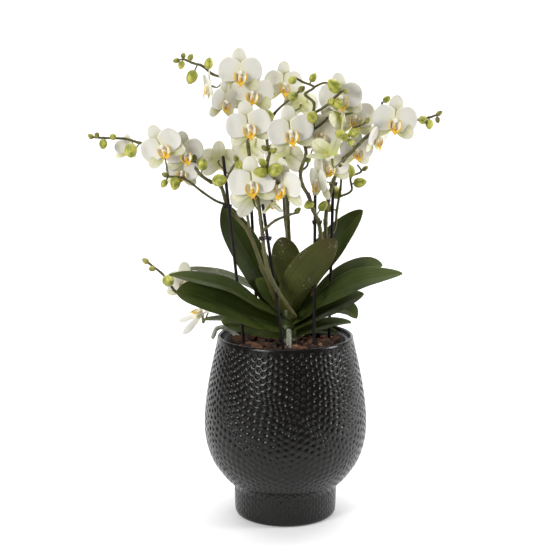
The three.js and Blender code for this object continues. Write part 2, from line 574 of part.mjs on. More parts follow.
// Blooms: node, spike, place, [turn, nod, roll], span, and whether it is only half open.
// Blooms that touch share a node.
const BLOOMS = [
  ['bloom_01', 'spike_middle', [-53, -35, 542], [5, 4, 0], 52],
  ['bloom_01', 'spike_middle', [-39, -31, 519], [4, 4, 4], 50],
  ['bloom_01', 'spike_middle', [-72, -46, 509], [48, 6, 4], 44],
  ['bloom_02', 'spike_middle', [-90, -10, 526], [-75, 8, 0], 42],
  ['bloom_03', 'spike_middle', [-43, -52, 482], [0, 4, -14], 53],
  ['bloom_04', 'spike_back', [-4, 0, 528], [28, 4, 4], 50],
  ['bloom_05', 'spike_back', [5, -62, 476], [4, 6, -10], 54],
  ['bloom_06', 'spike_back', [18, 4, 504], [170, -10, 0], 42],
  ['bloom_07', 'spike_right', [62, -48, 514], [6, 2, -4], 52],
  ['bloom_07', 'spike_right', [65, -52, 493], [-76, 30, 0], 48, true],
  ['bloom_09', 'spike_right', [79, -30, 491], [12, 4, 0], 52],
  ['bloom_10', 'spike_far_right', [126, -32, 487], [8, 4, 6], 54],
  ['bloom_10', 'spike_far_right', [106, -28, 467], [56, 18, 0], 44],
  ['bloom_10', 'spike_far_right', [82, -34, 453], [22, 8, 0], 44],
  ['bloom_11', 'spike_right', [39, -43, 472], [12, 6, 0], 42],
  ['bloom_08', 'spike_far_right', [52, -60, 447], [212, -50, 0], 54, true],
  ['bloom_12', 'spike_far_right', [54, -24, 434], [-18, 6, 0], 44],
  ['bloom_12', 'spike_far_right', [40, -25, 415], [-65, 6, 0], 48],
  ['bloom_13', 'spike_left', [-143, -54, 458], [5, 4, -28], 50],
  ['bloom_14', 'spike_left', [-118, -42, 450], [20, 4, -8], 47],
  ['bloom_15', 'spike_left', [-121, -36, 428], [0, 10, 8], 40],
  ['bloom_16', 'spike_left', [-185, -12, 452], [-20, -10, 0], 36, true],
  ['bloom_17', 'spike_left', [-80, 9, 437], [184, -6, 0], 46],
  ['bloom_18', 'spike_middle', [-44, 9, 451], [176, -6, 0], 42],
  ['bloom_19', 'spike_back', [-39, -58, 417], [-6, 6, -8], 56],
  ['bloom_20', 'spike_middle', [-39, -26, 396], [190, -26, 20], 54],
  ['bloom_21', 'spike_back', [-2, -58, 415], [-46, 14, 8], 58],
  ['bloom_22', 'spike_back', [-15, -54, 392], [10, 70, 0], 32, true],
  ['bloom_23', 'spike_back', [-2, -22, 443], [172, -8, 0], 46],
  ['bloom_24', 'spike_low_left', [-124, 14, 288], [6, 8, 0], 46],
  ['bloom_25', 'spike_low_left', [-100, -30, 257], [-60, -65, 0], 46],
];

// Points along a spike's stems that a bud or a bloom can hang from.
function stemPoints(stems) {
  return stems.flatMap(({ path }) => {
    const steps = 2 * (path.length - 1);
    const curve = routeOf(path);
    return Array.from({ length: steps }, (_, i) => curve.getPoint((i + 1) / steps));
  });
}

// The stem point nearest to a place, with those below it preferred.
function nearestBelow(points, place) {
  const cost = (point) => point.distanceTo(place) + 0.4 * (point.z - place.z);
  return points.reduce((best, point) => (cost(point) < cost(best) ? point : best));
}

function budSolids(points, [at, length], grow) {
  const centre = vector(at);
  const foot = nearestBelow(points, centre);
  const direction = centre.clone().sub(foot).normalize();
  const bud = egg(centre, direction, length * BUD_GIRTH[0] + 2 * grow, length * BUD_GIRTH[1] + 2 * grow, 4, 3);
  if (centre.distanceTo(foot) < length * 0.5) return [bud];
  const reach = centre.clone().addScaledVector(direction, -length * 0.35);
  return [bud, bar([foot.toArray(), reach.toArray()], [BUD_STALK_RADIUS, BUD_STALK_RADIUS], 3, 1, grow)];
}

// A bloom's stalk leaves the spike and comes into the bloom from behind.
function pedicelSolid(points, { at, face, size }, grow) {
  const place = bloomPlace(at, face);
  const scale = size / BLOOM_SPAN;
  const end = new THREE.Vector3(0, 4 * scale + CLEAR, 0).applyMatrix4(place);
  const behind = new THREE.Vector3(0, 12 * scale, -3).applyMatrix4(place);
  const foot = nearestBelow(points, behind);
  const path = [foot, behind, end].map((point) => point.toArray());
  return bar(path, [PEDICEL_RADIUS, PEDICEL_RADIUS], 3, 2, grow);
}

function spikeSolid(name, grow) {
  const { stems, buds } = SPIKES[name];
  const points = stemPoints(stems);
  const bars = stems.map(({ path, radii }) => {
    const sides = radii[0] > MAIN_STEM_RADIUS ? MAIN_STEM_SIDES : BRANCH_SIDES;
    return bar(path, radii, sides, path.length - 1, grow);
  });
  const eggs = buds.flatMap((bud) => budSolids(points, bud, grow));
  const stalks = blooms.filter((bloom) => bloom.spike === name)
    .map((bloom) => pedicelSolid(points, bloom, grow));
  return union([...bars, ...eggs, ...stalks]);
}

const blooms = BLOOMS.map(([name, spike, at, face, size, half]) => ({ name, spike, at, face, size, half }));

// Clips hold a spike's stem to its stake: name, middle, and half the reach across both.
const CLIPS = [
  ['clip_1', [-69, -12.8, 384], 4.8, 7],
  ['clip_2', [-24, -44, 350], 7.2, 4.6],
  ['clip_3', [37, -19, 366], 5.6, 7.4],
  ['clip_4', [56.5, -2, 410], 4.8, 7.8],
];

function clipSolid([x, y, z], halfX, halfY, grow) {
  const ring = new THREE.CylinderGeometry(1, 1, CLIP_HEIGHT + 2 * grow, CLIP_SIDES, 1);
  ring.rotateX(Math.PI / 2);
  ring.scale(halfX + grow, halfY + grow, 1);
  ring.translate(x, y, z);
  return solidOf(ring);
}

// The pieces in the order that they are set: each is cut clear of those before it.
const plant = new THREE.Group();
const set = [];

function touches(a, b) {
  return [0, 1, 2].every((axis) => a.min[axis] < b.max[axis] && b.min[axis] < a.max[axis]);
}

function add(name, colour, make) {
  let solid = make(0);
  for (const earlier of set) {
    if (touches(earlier.box, solid.boundingBox())) solid = solid.subtract(earlier.fat);
  }
  const fat = make(CLEAR);
  set.push({ fat, box: fat.boundingBox() });
  const [tint, roughness] = COLOURS[colour];
  const material = new THREE.MeshStandardMaterial({ color: tint, roughness, metalness: 0 });
  const mesh = new THREE.Mesh(geometryOf(mainBody(solid)), material);
  mesh.name = name;
  plant.add(mesh);
}

add('pot', 'ceramic', potSolid);
add('nursery_pot', 'plastic', nurserySolid);
STAKES.forEach(([name, foot, top]) => add(name, 'plastic', (grow) => stakeSolid(foot, top, grow)));
Object.entries(CROWNS).forEach(([name, crown]) => add(name, 'leaf', (grow) => crownSolid(crown, grow)));
Object.entries(ROOTS).forEach(([name, path]) => {
  add(name, 'root', (grow) => bar(path, ROOT_RADII, 6, path.length - 1, grow));
});
Object.keys(SPIKES).forEach((name) => add(name, 'stem', (grow) => spikeSolid(name, grow)));
CLIPS.forEach(([name, middle, halfX, halfY]) => {
  add(name, 'plastic', (grow) => clipSolid(middle, halfX, halfY, grow));
});
Object.entries(LEAVES).forEach(([name, leaf]) => add(name, 'leaf', (grow) => leafSolid(leaf, grow)));
new Set(blooms.map((bloom) => bloom.name)).forEach((name) => {
  const group = blooms.filter((bloom) => bloom.name === name);
  add(name, 'petal', (grow) => union(group.map((bloom) => bloomSolid(bloom, grow))));
});
add('bark', 'bark', barkSolid);

export default plant;
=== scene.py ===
import random
from math import cos, exp, pi, radians, sin, sqrt

import bpy
from mathutils import Matrix, Vector


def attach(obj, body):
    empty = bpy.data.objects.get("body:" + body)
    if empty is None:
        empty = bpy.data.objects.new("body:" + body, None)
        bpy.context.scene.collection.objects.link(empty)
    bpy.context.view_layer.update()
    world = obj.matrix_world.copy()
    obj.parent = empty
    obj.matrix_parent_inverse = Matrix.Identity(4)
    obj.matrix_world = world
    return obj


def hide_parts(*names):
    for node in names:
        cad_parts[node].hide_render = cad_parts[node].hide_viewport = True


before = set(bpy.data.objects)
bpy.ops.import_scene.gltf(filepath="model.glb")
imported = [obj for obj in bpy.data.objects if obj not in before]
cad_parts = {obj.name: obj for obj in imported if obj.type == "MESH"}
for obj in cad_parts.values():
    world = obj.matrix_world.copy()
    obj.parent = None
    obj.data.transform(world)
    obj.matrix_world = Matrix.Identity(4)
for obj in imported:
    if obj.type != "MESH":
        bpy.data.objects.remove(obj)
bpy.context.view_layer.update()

MM = 0.001

# Pot
POT_HEIGHT = 225
FOOT_RADIUS = 62.5
FOOT_HEIGHT = 34
FOOT_ROUND = 4
POT_WALL = 6
POT_FLOOR = 10
RIM_RADIUS = 83
MOUTH_RADIUS = 79.2
SHOULDER_RADIUS = 76.6
SHOULDER_Z = 217
BELLY = [[77, 50], [90.5, 70], [98.4, 95], [100, 122], [96.6, 155], [91, 185], [85.4, 210]]
OUTSIDE = [[62.7, 5], [63.2, 18], [63.4, 30], [63.8, 35], [69.5, 42.5], *BELLY, [83.3, 221]]
INSIDE = [[85, 185], [94, 122], [84.5, 72]]
COLUMNS = 84
DIMPLE_ROW = 8.5
DIMPLE_DEPTH = 1.25
DIMPLE_SHARE = 0.445
DIMPLE_CORNERS = 12

# Nursery pot and bark
LIP_RADIUS = 78.6
LIP_Z = 217.3
LIP_HEIGHT = 2.2
NURSERY_TOP_RADIUS = 74.5
NURSERY_FOOT_RADIUS = 54
NURSERY_FOOT_Z = 79.5
NURSERY_WALL = 1.2
BARK_TOP_Z = 212
BARK_FOOT_RADIUS = 52
BARK_RADIUS = 72
BARK_TOP_RADIUS = 69
CHIP_COUNT = 210
CHIP_LENGTH = (12, 32)
CHIP_WIDTH = (7, 15)
CHIP_THICKNESS = (2.5, 6)
CHIP_SPREAD = 66
CHIP_REACH = 71

# Stakes, clips, roots and crowns
STAKE_RADIUS = 1.9
STAKE_FOOT_Z = 150
BAND_RADIUS = 0.95
BAND_INSET = 0.9
ROOT_RADII = [3.2, 2.6]
CROWN_RADII = [11, 7.7]

# Leaves, stems, buds and blooms
LEAF_THICKNESS = 2.2
LEAF_FOLD = 0.3
LEAF_TIP = 0.62
GROOVE_DEPTH = 0.45
GROOVE_WIDTH = 0.045
STEM_SKIN = 0.35
NODE_SWELL = 0.28
NODE_WIDTH = 0.09
BRACT_THICKNESS = 0.36
YOUNG_LENGTH = 9
SEAM_DEPTH = 0.1
SEAM_WIDTH = 0.2
BUD_STALK_RADIUS = 0.9
PEDICEL_RADIUS = 1.1
BLOOM_SPAN = 50
PETAL_THICKNESS = 0.7
RIB_DEPTH = 0.14
RIB_WIDTH = 0.07

# Studio, placed in metres: paper, camera, and lamps with their place, aim, size and power.
BEND_START = 1.2
BEND_RADIUS = 0.6
PAPER_DROP = 0.0005
LENS = 81.4
CAMERA_PLACE = (-0.011, -1.495, 0.559)
CAMERA_TILT = 80.05
LAMPS = [
    ["left_box", (-1.15, -1.3, 0.85), (0, 0, 0.25), (0.65, 0.5), 20.5],
    ["right_box", (1.6, -0.15, 0.75), (0, 0, 0.25), (0.42, 0.68), 17.5],
    ["top_box", (-0.2, -0.7, 1.9), (0, 0, 0.3), (1.6, 1.2), 7],
    ["back_box", (0, 0.5, 2.5), (0, 1.9, 0.8), (3, 1), 62],
]

# Stakes: where each leaves the bark, and its top.
STAKES = [
    [[-50, -18, 214], [-74, -16, 443]],
    [[-2, -43, 214], [-27, -44, 389]],
    [[34, -26, 214], [35, -13, 396]],
    [[54, 14, 214], [57, 2, 415]],
    [[10, 52, 214], [0, 43, 372]],
    [[-34, 26, 214], [-42, 30, 384]],
]

# Clips: the middle of each, with half its width and depth.
CLIPS = [
    [[-69, -12.8, 384], 4.8, 7],
    [[-24, -44, 350], 7.2, 4.6],
    [[37, -19, 366], 5.6, 7.4],
    [[56.5, -2, 410], 4.8, 7.8],
]

ROOTS = {
    "front": [[4, -17, 233], [4, -27, 226], [4, -34, 215], [4, -35, 200]],
    "rim": [[-50, 12, 200], [-56, 14, 215], [-66, 15, 225], [-76, 16, 230], [-85, 17, 228], [-90, 18, 217]],
}

CROWN_STEMS = {
    "front": [[3, -4, 204], [3, -4, 232], [3, -5, 256]],
    "back": [[17, 32, 204], [15, 32, 230], [14, 31, 254]],
}

# Leaves: width, where the upper face looks, the midrib's path, and how pointed the tip is if it differs.
CROWN_LEAVES = {
    "front": [
        [28, [0.5, -0.7, 0.5], [[3, -3, 248], [-12, 0, 266], [-24, 3, 280], [-36, 4, 293]]],
        [24, [-0.75, 0.1, 0.6], [[6, 1, 244], [18, 4, 264], [30, 2, 285], [43, -3, 302], [54, -7, 312]]],
        [26, [-0.1, -0.3, 0.95], [[3, -4, 222], [30, -4, 230], [54, -5, 238], [80, -4, 241]]],
    ],
    "back": [
        [15, [0, -0.5, 0.86], [[18, 32, 222], [36, 30, 223], [52, 27, 222], [66, 24, 220]]],
        [24, [0, -0.12, 1], [[15, 32, 230], [-30, 42, 232], [-70, 44, 234], [-103, 42, 235]]],
    ],
}

LEAVES = [
    [46, [-0.25, 0.9, 0.3], [[4, -4, 246], [8, -16, 267], [15, -31, 289], [27, -42, 310], [43, -47, 330],
        [59, -48, 349]]],
    [36, [0.1, -0.35, 0.93], [[3, -4, 243], [-33, -30, 266], [-66, -47, 290], [-101, -54, 301],
        [-136, -57, 309]], 0.85],
    [44, [-0.15, -0.45, 0.88], [[3, -4, 240], [30, -2, 257], [53, -12, 273], [76, -19, 287], [98, -23, 297],
        [140, -20, 304]]],
    [46, [0.1, -0.6, 0.78], [[3, -4, 233], [-37, -34, 250], [-75, -54, 272], [-104, -60, 284],
        [-128, -62, 289]]],
    [38, [-0.2, -0.35, 0.9], [[3, -4, 230], [30, -4, 244], [55, -10, 257], [78, -10, 269], [95, -8, 277]]],
    [38, [0.1, -0.6, 0.8], [[3, -4, 224], [-26, 4, 230], [-50, 10, 235], [-79, 14, 239]]],
    [44, [0.5, -0.8, 0.25], [[14, 32, 240], [-9, 26, 255], [-29, 19, 289], [-50, 15, 326], [-67, 9, 358],
        [-75, 4, 384]]],
    [44, [-0.45, -0.75, 0.45], [[14, 32, 246], [22, 38, 272], [35, 40, 297], [53, 40, 320], [70, 38, 343],
        [95, 33, 374]]],
    [36, [0, 0.95, 0.3], [[17, 30, 250], [13, 21, 272], [5, 14, 300], [-1, 10, 325], [-5, 8, 344]]],
    [40, [-0.15, -0.45, 0.88], [[16, 32, 238], [38, 38, 255], [60, 36, 278], [80, 33, 294], [100, 30, 303],
        [120, 28, 306]]],
    [40, [0.15, 0.1, 0.97], [[14, 32, 242], [-28, 48, 267], [-75, 58, 287], [-102, 60, 293],
        [-127, 60, 296]]],
    [32, [0.1, -0.4, 0.9], [[16, 32, 228], [40, 33, 240], [62, 30, 250], [78, 26, 249], [89, 24, 240]]],
]

# Each spike's stems: the radii at the foot and the tip, and the path.
STEMS = {
    "low_left": [
        [1.9, 1, [[3, -4, 240], [-30, 8, 250], [-70, 10, 256], [-109, 5, 264], [-124, 1, 272],
            [-134, -3, 279], [-143, -6, 293], [-150, -6, 302], [-165, -6, 314]]],
    ],
    "left": [
        [2.5, 1, [[3, -4, 240], [-9, 0, 258], [-16, -8, 280], [-27, -18, 308], [-43, -14, 350],
            [-59, -9, 370], [-70, -9, 385], [-77, -16, 408], [-88, -32, 415], [-99, -42, 424],
            [-112, -30, 438], [-135, -16, 452], [-152, -18, 457], [-171, -24, 460], [-188, -28, 465],
            [-213, -28, 466], [-227, -28, 467]]],
        [1.5, 1.1, [[-43, -14, 350], [-46, -6, 372], [-53, 0, 395], [-62, 4, 414]]],
        [1.3, 0.9, [[-70, -9, 385], [-83, -24, 392], [-97, -36, 403], [-118, -46, 420], [-136, -50, 423]]],
        [1.2, 0.9, [[-77, -16, 408], [-70, -22, 418], [-63, -32, 431], [-57, -38, 440]]],
    ],
    "middle": [
        [2.5, 1, [[8, -8, 250], [11, -24, 253], [0, -38, 271], [-10, -49, 289], [-20, -52, 310],
            [-25, -49, 332], [-27, -44, 350], [-29, -43, 368], [-33, -40, 395], [-40, -34, 425],
            [-44, -26, 455], [-48, -10, 480], [-54, 4, 505], [-61, 2, 525], [-72, -6, 535], [-85, -12, 539],
            [-98, -14, 549], [-108, -14, 552], [-120, -14, 557]]],
        [1.5, 1, [[-28, -44, 358], [-23, -50, 363], [-12, -43, 371], [3, -35, 376], [11, -31, 378]]],
    ],
    "back": [
        [2.4, 1, [[13, 34, 246], [8, 37, 290], [5, 32, 330], [3, 14, 362], [2, -10, 386], [-1, -34, 403],
            [-7, -51, 413], [-12, -61, 419], [-15, -66, 425], [-21, -67, 434], [-21, -62, 443],
            [-19, -52, 451], [-22, -40, 464], [-18, -32, 480], [-13, -34, 495], [4, -38, 511],
            [15, -40, 520]]],
        [1.8, 1.2, [[5, 32, 330], [0, 30, 360], [-2, 24, 400], [0, 20, 440], [4, 16, 480], [6, 12, 505]]],
    ],
    "right": [
        [2.6, 1, [[1, 0, 244], [6, 10, 262], [20, 15, 286], [36, 8, 310], [42, -10, 330], [42, -18, 346],
            [39, -23, 366], [32, -30, 382], [27, -36, 398], [19, -44, 413], [17, -48, 429], [23, -50, 448],
            [22, -52, 462], [31, -52, 477], [30, -52, 491], [32, -48, 507], [22, -46, 517], [32, -44, 525],
            [19, -42, 531], [10, -42, 536]]],
        [1.4, 0.9, [[31, -51, 495], [46, -62, 505], [56, -66, 515], [66, -68, 523]]],
        [1.3, 1, [[31, -52, 477], [40, -50, 483], [50, -48, 492]]],
        [1.1, 0.9, [[32, -44, 525], [42, -54, 530], [50, -62, 530]]],
        [1.1, 0.9, [[17, -48, 429], [24, -44, 434], [26, -42, 440]]],
    ],
    "far_right": [
        [2.5, 1, [[17, 29, 244], [26, 22, 262], [38, 17, 288], [46, 11, 316], [49, 5, 338], [48, -1, 362],
            [50, -6, 386], [56, -8, 410], [61, -20, 427], [67, -38, 441], [75, -50, 451], [84, -48, 460],
            [92, -38, 467], [101, -22, 471], [112, -8, 474], [127, -2, 478], [142, -4, 483], [155, -8, 486],
            [169, -10, 489], [178, -10, 492]]],
        [1.5, 1, [[49, 5, 338], [60, 12, 354], [62, 10, 376], [66, 7, 402], [67, 5, 422]]],
        [1.2, 0.8, [[65, 8, 393], [79, 3, 401], [78, 2, 417], [90, 0, 424], [86, -2, 432]]],
        [1.2, 0.8, [[80, -50, 456], [74, -58, 463], [71, -61, 470], [75, -61, 478], [84, -60, 482],
            [92, -56, 486]]],
        [1.1, 0.8, [[112, -8, 474], [110, -2, 490], [114, -3, 506]]],
    ],
}

# Each spike's buds: the place and the length.
BUDS = {
    "low_left": [[-169, -7, 317, 8], [-161, -10, 308, 8], [-141, -14, 294, 17]],
    "left": [[-228, -29, 468, 7], [-220, -33, 470, 7], [-213, -33, 459, 11], [-201, -36, 468, 9],
        [-180, -42, 452, 17], [-141, -53, 415, 9], [-140, -50, 425, 7], [-128, -53, 415, 14],
        [-96, -50, 437, 13], [-107, -38, 444, 8], [-77, -42, 418, 17], [-58, -40, 443, 8],
        [-54, -43, 435, 12]],
    "middle": [[-110, -18, 536, 15], [-90, -16, 552, 12], [-122, -16, 550, 9], [-120, -10, 561, 7],
        [-128, -14, 555, 7], [-111, -17, 559, 8], [14, -30, 381, 8]],
    "back": [[-21, -39, 493, 14], [8, -43, 514, 13], [18, -41, 523, 8], [-27, -72, 441, 10],
        [-29, -72, 430, 15], [-12, -72, 433, 17], [-14, -56, 454, 9], [-25, -52, 456, 7]],
    "right": [[7, -48, 533, 11], [31, -40, 536, 10], [54, -67, 527, 16], [30, -63, 492, 15],
        [51, -69, 509, 10], [59, -70, 507, 12], [67, -71, 521, 7], [25, -41, 443, 9], [27, -31, 388, 12],
        [44, -26, 386, 12], [33, -42, 463, 10]],
    "far_right": [[161, -14, 486, 12], [169, -14, 481, 11], [181, -10, 494, 7], [179, -11, 486, 7],
        [119, -6, 510, 9], [61, -69, 473, 12], [67, -66, 469, 11], [77, -66, 474, 12], [74, -64, 463, 9],
        [85, -60, 486, 6], [93, -57, 488, 7], [77, 0, 425, 14], [89, 0, 411, 14], [95, 0, 428, 7],
        [61, 14, 398, 15], [51, 10, 380, 12]],
}

# Blooms: number, spike, place, then turn, nod and roll, span, and the state of one that is not open.
BLOOMS = [
    [1, "middle", [-53, -35, 542], [5, 4, 0], 52],
    [1, "middle", [-39, -31, 519], [4, 4, 4], 50],
    [1, "middle", [-72, -46, 509], [48, 6, 4], 44],
    [2, "middle", [-90, -10, 526], [-75, 8, 0], 42],
    [3, "middle", [-43, -52, 482], [0, 4, -14], 53],
    [4, "back", [-4, 0, 528], [28, 4, 4], 50],
    [5, "back", [5, -62, 476], [4, 6, -10], 54],
    [6, "back", [18, 4, 504], [170, -10, 0], 42],
    [7, "right", [62, -48, 514], [6, 2, -4], 52],
    [7, "right", [65, -52, 493], [-76, 30, 0], 48, "half open"],
    [9, "right", [79, -30, 491], [12, 4, 0], 52],
    [10, "far_right", [126, -32, 487], [8, 4, 6], 54],
    [10, "far_right", [106, -28, 467], [56, 18, 0], 44],
    [10, "far_right", [82, -34, 453], [22, 8, 0], 44],
    [11, "right", [39, -43, 472], [12, 6, 0], 42],
    [8, "far_right", [52, -60, 447], [212, -50, 0], 54, "half open"],
    [12, "far_right", [54, -24, 434], [-18, 6, 0], 44],
    [12, "far_right", [40, -25, 415], [-65, 6, 0], 48],
    [13, "left", [-143, -54, 458], [5, 4, -28], 50],
    [14, "left", [-118, -42, 450], [20, 4, -8], 47],
    [15, "left", [-121, -36, 428], [0, 10, 8], 40],
    [16, "left", [-185, -12, 452], [-20, -10, 0], 36, "half open"],
    [17, "left", [-80, 9, 437], [184, -6, 0], 46],
    [18, "middle", [-44, 9, 451], [176, -6, 0], 42],
    [19, "back", [-39, -58, 417], [-6, 6, -8], 56],
    [20, "middle", [-39, -26, 396], [190, -26, 20], 54],
    [21, "back", [-2, -58, 415], [-46, 14, 8], 58],
    [22, "back", [-15, -54, 392], [10, 70, 0], 32, "half open"],
    [23, "back", [-2, -22, 443], [172, -8, 0], 46],
    [24, "low_left", [-124, 14, 288], [6, 8, 0], 46],
    [25, "low_left", [-100, -30, 257], [-60, -65, 0], 46, "withered"],
]

# Bloom lobes: angle clockwise from up, length, width, lean forward, how far the middle is raised, and twist.
SEPALS = [[0, 27, 18, 0, 1.0, 0], [130, 28, 18, 4, 1.0, 0], [230, 28, 18, 4, 1.0, 0]]
PETALS = [[80, 25, 29, 4, -1.0, 0], [280, 25, 29, 4, -1.0, 0]]
WITHERED = [[215, 33, 7.6, 2, 1.0, 65], [200, 37, 10.5, -22, 1.0, 80], [24, 24, 6, 4, 1.0, 70],
            [44, 25, 6, 6, -1.0, 80], [12, 18, 5, 0, -1.0, 60]]

# How far behind the bloom's middle its sepals and petals lie.
SEPAL_BACK = 1.3
PETAL_BACK = -1.3

# Where a lobe is widest as a share of its length, how wide its claw is, and how blunt it is.
SEPAL_LOOK = (0.5, 0.16, 2.2)
PETAL_LOOK = (0.54, 0.16, 2.2)
WITHERED_LOOK = (0.74, 0.03, 1.3)

# A half-open bloom: how far its outer and inner lobes lean forward, how narrow they are, and its lip's size.
HALF_OPEN = (32, 46, 0.8)
HALF_OPEN_LIP = 0.8


class Shape:
    """Points and faces of one piece, with a paint for each face and a map place for each point."""

    def __init__(self):
        self.points = []
        self.maps = []
        self.faces = []
        self.paints = []

    def point(self, place, mapped=(0.5, 0.5)):
        self.points.append(Vector(place))
        self.maps.append(mapped)
        return len(self.points) - 1

    def face(self, corners, paint):
        kept = [corner for k, corner in enumerate(corners) if corner != corners[k - 1]]
        if len(kept) > 2:
            self.faces.append(kept)
            self.paints.append(paint)


def route(points, t):
    """A point of the smooth curve through the points, for t from 0 to 1."""
    points = [Vector(point) for point in points]
    spot = t * (len(points) - 1)
    i = min(int(spot), len(points) - 2)
    w = spot - i
    start, end = points[i], points[i + 1]
    before = points[i - 1] if i > 0 else 2 * start - end
    after = points[i + 2] if i + 2 < len(points) else 2 * end - start
    pull, push = 0.5 * (end - before), 0.5 * (after - start)
    return (start + pull * w + (3 * (end - start) - 2 * pull - push) * w**2
            + (2 * (start - end) + pull + push) * w**3)


def points_along(points, count):
    """The points that cut the curve into that many steps."""
    return [route(points, k / count) for k in range(count + 1)]


def heading(points, t):
    """The curve's direction at t."""
    low, high = max(0, t - 1e-4), min(1, t + 1e-4)
    return (route(points, high) - route(points, low)).normalized()


def path_frame(points, t, upper):
    """The curve's point at t, with the ways across it and out of its upper face."""
    ahead = heading(points, t)
    across = ahead.cross(upper).normalized()
    return route(points, t), across, across.cross(ahead)


def smooth(low, high, value):
    """From 0 at low to 1 at high, with soft ends."""
    t = min(1, max(0, (value - low) / (high - low)))
    return t * t * (3 - 2 * t)


def add_lathe(shape, profile, sides, paint):
    """A turned skin from its [radius, height] points, with the outer side listed upward."""
    rings = []
    for k, (radius, height) in enumerate(profile):
        count = 1 if radius == 0 else sides
        ring = [shape.point(spin(radius, i / sides, height), (i / sides, k / len(profile)))
                for i in range(count)]
        rings.append(ring * (sides // count))
    add_skin(shape, rings, paint)


def spin(radius, share, height):
    """The point at that share of a turn round the upright axis."""
    angle = 2 * pi * share
    return radius * cos(angle), radius * sin(angle), height


def add_skin(shape, rings, paint):
    """Faces between rings of points that run the same way round."""
    for low, high in zip(rings, rings[1:]):
        for i in range(len(low)):
            j = (i + 1) % len(low)
            shape.face([low[i], low[j], high[j], high[i]], paint)


def add_tube(shape, centres, radii, sides, paint, dent=None):
    """A round rod along the centres, with rounded ends. dent(angle) changes its radius round the rod."""
    centres = [Vector(centre) for centre in centres]
    headings = [(centres[min(k + 1, len(centres) - 1)] - centres[max(k - 1, 0)]).normalized()
                for k in range(len(centres))]
    rows = [(centres[0] - headings[0] * radii[0] * 0.8, 0, headings[0]),
            (centres[0] - headings[0] * radii[0] * 0.6, radii[0] * 0.7, headings[0])]
    rows += list(zip(centres, radii, headings))
    rows += [(centres[-1] + headings[-1] * radii[-1] * 0.6, radii[-1] * 0.7, headings[-1]),
             (centres[-1] + headings[-1] * radii[-1] * 0.8, 0, headings[-1])]
    side = headings[0].orthogonal().normalized()
    rings = []
    for k, (centre, radius, ahead) in enumerate(rows):
        side = (side - ahead * side.dot(ahead)).normalized()
        other = ahead.cross(side)
        count = 1 if radius == 0 else sides
        ring = []
        for i in range(count):
            angle = 2 * pi * i / sides
            reach = radius * (dent(angle) if dent else 1)
            place = centre + reach * (side * cos(angle) + other * sin(angle))
            ring.append(shape.point(place, (i / sides, k / (len(rows) - 1))))
        rings.append(ring * (sides // count))
    add_skin(shape, rings, paint)


def add_blade(shape, columns, rows, place, paints):
    """A thin closed blade: place(u, t, side) is a point at u from -1 to 1 across and t from 0 to 1 along."""
    known = {}

    def corner(i, j, side):
        end = j in (0, rows)
        edge = end or i in (0, columns)
        key = (0 if end else i, j, 0 if edge else side)
        if key not in known:
            u = 0 if end else 2 * i / columns - 1
            t = j / rows
            known[key] = shape.point(place(u, t, key[2]), ((u + 1) / 2, t))
        return known[key]

    for j in range(rows):
        for i in range(columns):
            for side, paint in zip((1, -1), paints):
                around = [corner(i + a, j + b, side) for a, b in ((0, 0), (1, 0), (1, 1), (0, 1))]
                shape.face(around if side > 0 else around[::-1], paint)


def add_object(name, data):
    thing = bpy.data.objects.new(name, data)
    bpy.context.scene.collection.objects.link(thing)
    return thing


def make(name, shape, smooth_faces=True):
    """The piece itself, in metres, standing for its CAD node."""
    mesh = bpy.data.meshes.new(name)
    mesh.from_pydata([point * MM for point in shape.points], [], shape.faces)
    places = {paint: k for k, paint in enumerate(dict.fromkeys(shape.paints))}
    for paint in places:
        mesh.materials.append(paint)
    mesh.polygons.foreach_set("material_index", [places[paint] for paint in shape.paints])
    mesh.polygons.foreach_set("use_smooth", [smooth_faces] * len(shape.faces))
    layer = mesh.uv_layers.new(name="map")
    layer.data.foreach_set("uv", [value for loop in mesh.loops for value in shape.maps[loop.vertex_index]])
    piece = add_object(name, mesh)
    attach(piece, "root")
    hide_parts(name)


